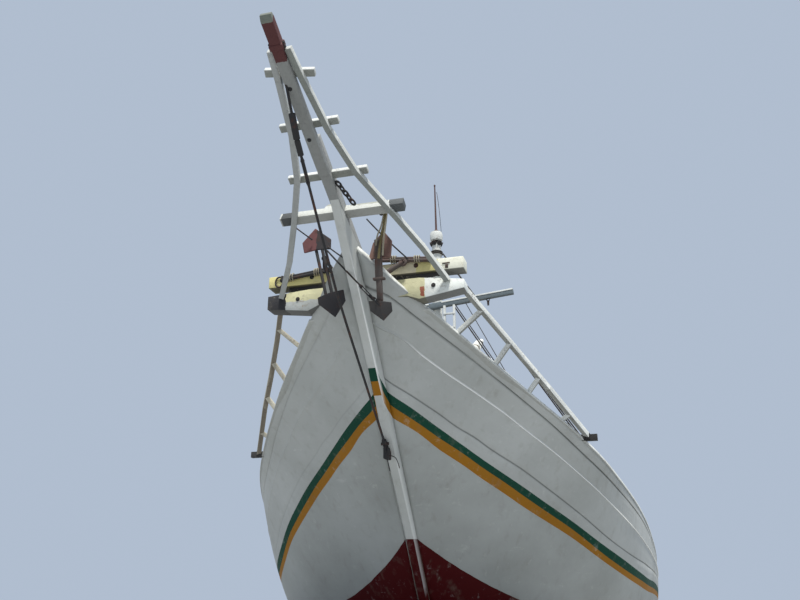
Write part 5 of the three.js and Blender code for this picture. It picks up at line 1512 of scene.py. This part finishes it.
for place in ("fore_port", "fore_starboard", "aft_port", "aft_starboard"):
    hewn("bitt_posts_" + place, "bitts_" + place, TIMBER_UP, 0.015, "weathered_white")

# Cleats and rings along the sides of the hatch

COAMING_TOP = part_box("hatch_coaming")[1].z
bm = bmesh.new()
for y in (-5.9, -4.6, -3.1, -1.8):
    for side in (-1, 1):
        cleat = Vector((side * 1.5, y, COAMING_TOP - 0.16))
        half = Vector((0, 0.04, 0))
        add_bar(bm, cleat - half, cleat + half, 0.05, 0.06, ease=0.006)
        add_ring(bm, (side * 1.53, y + 0.5, COAMING_TOP - 0.22), TO_X, 0.06, 0.012)
from_bmesh("hatch_cleats", bm, DARK_IRON, slot="dark_iron")

# Windlass: a wooden barrel with waisted necks in its bitts, iron hoops and whelps

BARREL = Vector((0, -11.5, sum(corner.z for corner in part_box("windlass_barrel")) / 2))
# Half of the barrel, as radius and distance from its middle
BARREL_HALF = (
    (0.135, 0.3), (0.146, 0.50), (0.058, 0.505), (0.058, 0.74), (0.112, 0.745), (0.105, 0.80),
    (0.118, 0.93), (0.165, 0.965), (0.165, 1.0), (0.0, 1.0),
)
bm = bmesh.new()
far_half = tuple((radius, -along) for radius, along in reversed(BARREL_HALF))
add_turned(bm, BARREL, far_half + ((0.132, 0.0),) + BARREL_HALF, sides=32, turn=TO_X)
from_bmesh("windlass_drum", bm, DOOR_WOOD, body="windlass", slot="deck_wood", replaces=("windlass_barrel",))
HOOP_PROFILE = ((0.13, -0.02), (0.149, -0.02), (0.149, 0.02), (0.13, 0.02))
WHELPS = 16
bm = bmesh.new()
for x in (-0.48, -0.16, 0.12, 0.44):
    add_turned(bm, BARREL + Vector((x, 0, 0)), HOOP_PROFILE, sides=32, turn=TO_X)
for k in range(WHELPS):
    angle = 2 * pi * k / WHELPS
    way = Vector((0, cos(angle), sin(angle)))
    add_bar(bm, BARREL + way * 0.128, BARREL + way * 0.149, 0.05, 0.03, ease=0.004)
from_bmesh("windlass_irons", bm, DARK_IRON, body="windlass", slot="dark_iron", replaces=("windlass_barrel",))

# Houses: casings and glass of the windows, trim at the corners, boards and irons of the doors

HOUSE = {"front": 5.0, "back": 12.3, "half": 2.6}
WHEELHOUSE = {"front": 5.5, "back": 8.3, "half": 1.6}
WHEEL_SILL, WHEEL_HEAD = ROOF_TOP + 1.0, ROOF_TOP + 1.8
# Windows: house, wall, their middles, width, sill, head
WINDOWS = (
    (HOUSE, "front", (-1.5, 0.0, 1.5), 0.8, 2.5, 3.25),
    (HOUSE, "side", (8.3, 9.7, 11.1), 0.8, 2.65, 3.3),
    (HOUSE, "back", (-1.3, 1.3), 0.8, 2.9, 3.45),
    (WHEELHOUSE, "front", (-1.02, 0.0, 1.02), 0.86, WHEEL_SILL, WHEEL_HEAD),
    (WHEELHOUSE, "side", (6.3,), 0.9, WHEEL_SILL, WHEEL_HEAD),
    (WHEELHOUSE, "back", (0.0,), 0.9, WHEEL_SILL, WHEEL_HEAD),
)


def wall_box(bm, house, wall, side, low, high, ease=0.005):
    """A box on a wall: along it, outward from its face (negative is inside it), and up."""
    (a0, out0, z0), (a1, out1, z1) = low, high
    if wall == "side":
        face = house["half"]
        corners = [(side * (face + out0), a0, z0), (side * (face + out1), a1, z1)]
    else:
        face, way = (house["front"], -1) if wall == "front" else (house["back"], 1)
        corners = [(a0, face + way * out0, z0), (a1, face + way * out1, z1)]
    low_corner = [min(pair) for pair in zip(*corners)]
    high_corner = [max(pair) for pair in zip(*corners)]
    add_box(bm, low_corner, high_corner, ease=ease)


def window_boxes(middle, width, sill, head):
    """The casing on the wall, the sash in the opening, and the bar in its middle."""
    left, right = middle - width / 2, middle + width / 2
    casing, sash = 0.06, 0.035
    return (
        ((left - casing, -0.002, sill - 0.07), (right + casing, 0.022, sill)),
        ((left - casing, -0.002, head), (right + casing, 0.022, head + casing)),
        ((left - casing, -0.002, sill), (left, 0.018, head)),
        ((right, -0.002, sill), (right + casing, 0.018, head)),
        ((left - 0.001, -0.058, sill - 0.001), (left + sash, -0.004, head + 0.001)),
        ((right - sash, -0.058, sill - 0.001), (right + 0.001, -0.004, head + 0.001)),
        ((left, -0.058, sill - 0.001), (right, -0.004, sill + sash)),
        ((left, -0.058, head - sash), (right, -0.004, head + 0.001)),
        ((middle - 0.015, -0.05, sill + 0.03), (middle + 0.015, -0.01, head - 0.03)),
    )


casings, panes = bmesh.new(), bmesh.new()
for house, wall, middles, width, sill, head in WINDOWS:
    for middle in middles:
        for side in ((1, -1) if wall == "side" else (1,)):
            for low, high in window_boxes(middle, width, sill, head):
                wall_box(casings, house, wall, side, low, high)
            reach = width / 2 - 0.03
            pane_low, pane_high = (middle - reach, -0.035, sill + 0.03), (middle + reach, -0.029, head - 0.03)
            wall_box(panes, house, wall, side, pane_low, pane_high, ease=0.0)
TRIM_WIDTH, TRIM_THICK = 0.09, 0.018
for house, top in ((HOUSE, 3.9), (WHEELHOUSE, ROOF_TOP + 2.05)):
    for side in (1, -1):
        for wall, way in (("front", 1), ("back", -1)):
            y = house[wall]
            bottom = sheer_at(y) - 0.35 if house is HOUSE else ROOF_TOP + 0.002
            inner, outer = side * (house["half"] - TRIM_WIDTH), side * (house["half"] + TRIM_THICK)
            wall_box(casings, house, wall, 1, (inner, -0.001, bottom), (outer, TRIM_THICK, top))
            wall_box(
                casings, house, "side", side, (y, -0.001, bottom), (y + way * TRIM_WIDTH, TRIM_THICK, top),
            )
from_bmesh("window_casings", casings, TRIM_PAINT, slot="green_paint")
from_bmesh("window_panes", panes, GLASS, slot="white_paint")

# Doors of each house: the house, the hinge and shut edge along the wall, sill, head
DOORS = {
    "deckhouse": (HOUSE, 6.2, 6.92, 1.70, 3.55),
    "wheelhouse": (WHEELHOUSE, 8.0, 7.28, ROOF_TOP + 0.12, ROOF_TOP + 1.9),
}
STILE = 0.11
for house_name, (house, hinge, shut, sill, head) in DOORS.items():
    way = 1 if shut > hinge else -1
    y0, y1 = min(hinge, shut) + 0.03, max(hinge, shut) - 0.03
    for side_name, side in SIDES:
        node = house_name + "_door_" + side_name
        hewn(node + "_leaf", node, DOOR_WOOD, 0.004, "deck_wood", body=node)
        bm = bmesh.new()
        low, high = sill + 0.03, head - 0.03
        for start, end, z0, z1 in (
            (y0, y0 + STILE, low, high), (y1 - STILE, y1, low, high),
            (y0 + STILE, y1 - STILE, head - 0.15, high), (y0 + STILE, y1 - STILE, low, sill + 0.2),
            (y0 + STILE, y1 - STILE, mix(sill, head, 0.48), mix(sill, head, 0.56)),
        ):
            wall_box(bm, house, "side", side, (start, -0.004, z0), (end, 0.012, z1), ease=0.004)
        from_bmesh(node + "_frame", bm, PANEL_WOOD, body=node, slot="deck_wood", replaces=(node,))
        bm = bmesh.new()
        grip = y1 - STILE / 2 if way > 0 else y0 + STILE / 2
        grip_z = mix(sill, head, 0.45)
        face = side * (house["half"] + 0.012)
        out = Vector((side * 0.03, 0, 0))
        for z in (grip_z, grip_z + 0.14):
            add_rod(bm, (face, grip, z), Vector((face, grip, z)) + out, 0.008, sides=8)
        handle = face + side * 0.028
        add_rod(bm, (handle, grip, grip_z - 0.02), (handle, grip, grip_z + 0.16), 0.01, sides=10)
        near, far = sorted((hinge + way * 0.04, hinge + way * 0.38))
        for z in (sill + 0.25, head - 0.30):
            add_box(bm, (face - 0.004, near, z - 0.02), (face + 0.004, far, z + 0.02), ease=0.002)
        from_bmesh(node + "_irons", bm, DARK_IRON, body=node, slot="dark_iron", replaces=(node,))

# Finishes of the pieces of the part that show as they are

KEPT_FINISH = {"engine": DARK_IRON, "propeller": BRONZE, "propeller_shaft": BRONZE}
for node, finish in KEPT_FINISH.items():
    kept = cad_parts[node]
    kept.data.materials.clear()
    kept.data.materials.append(finish)
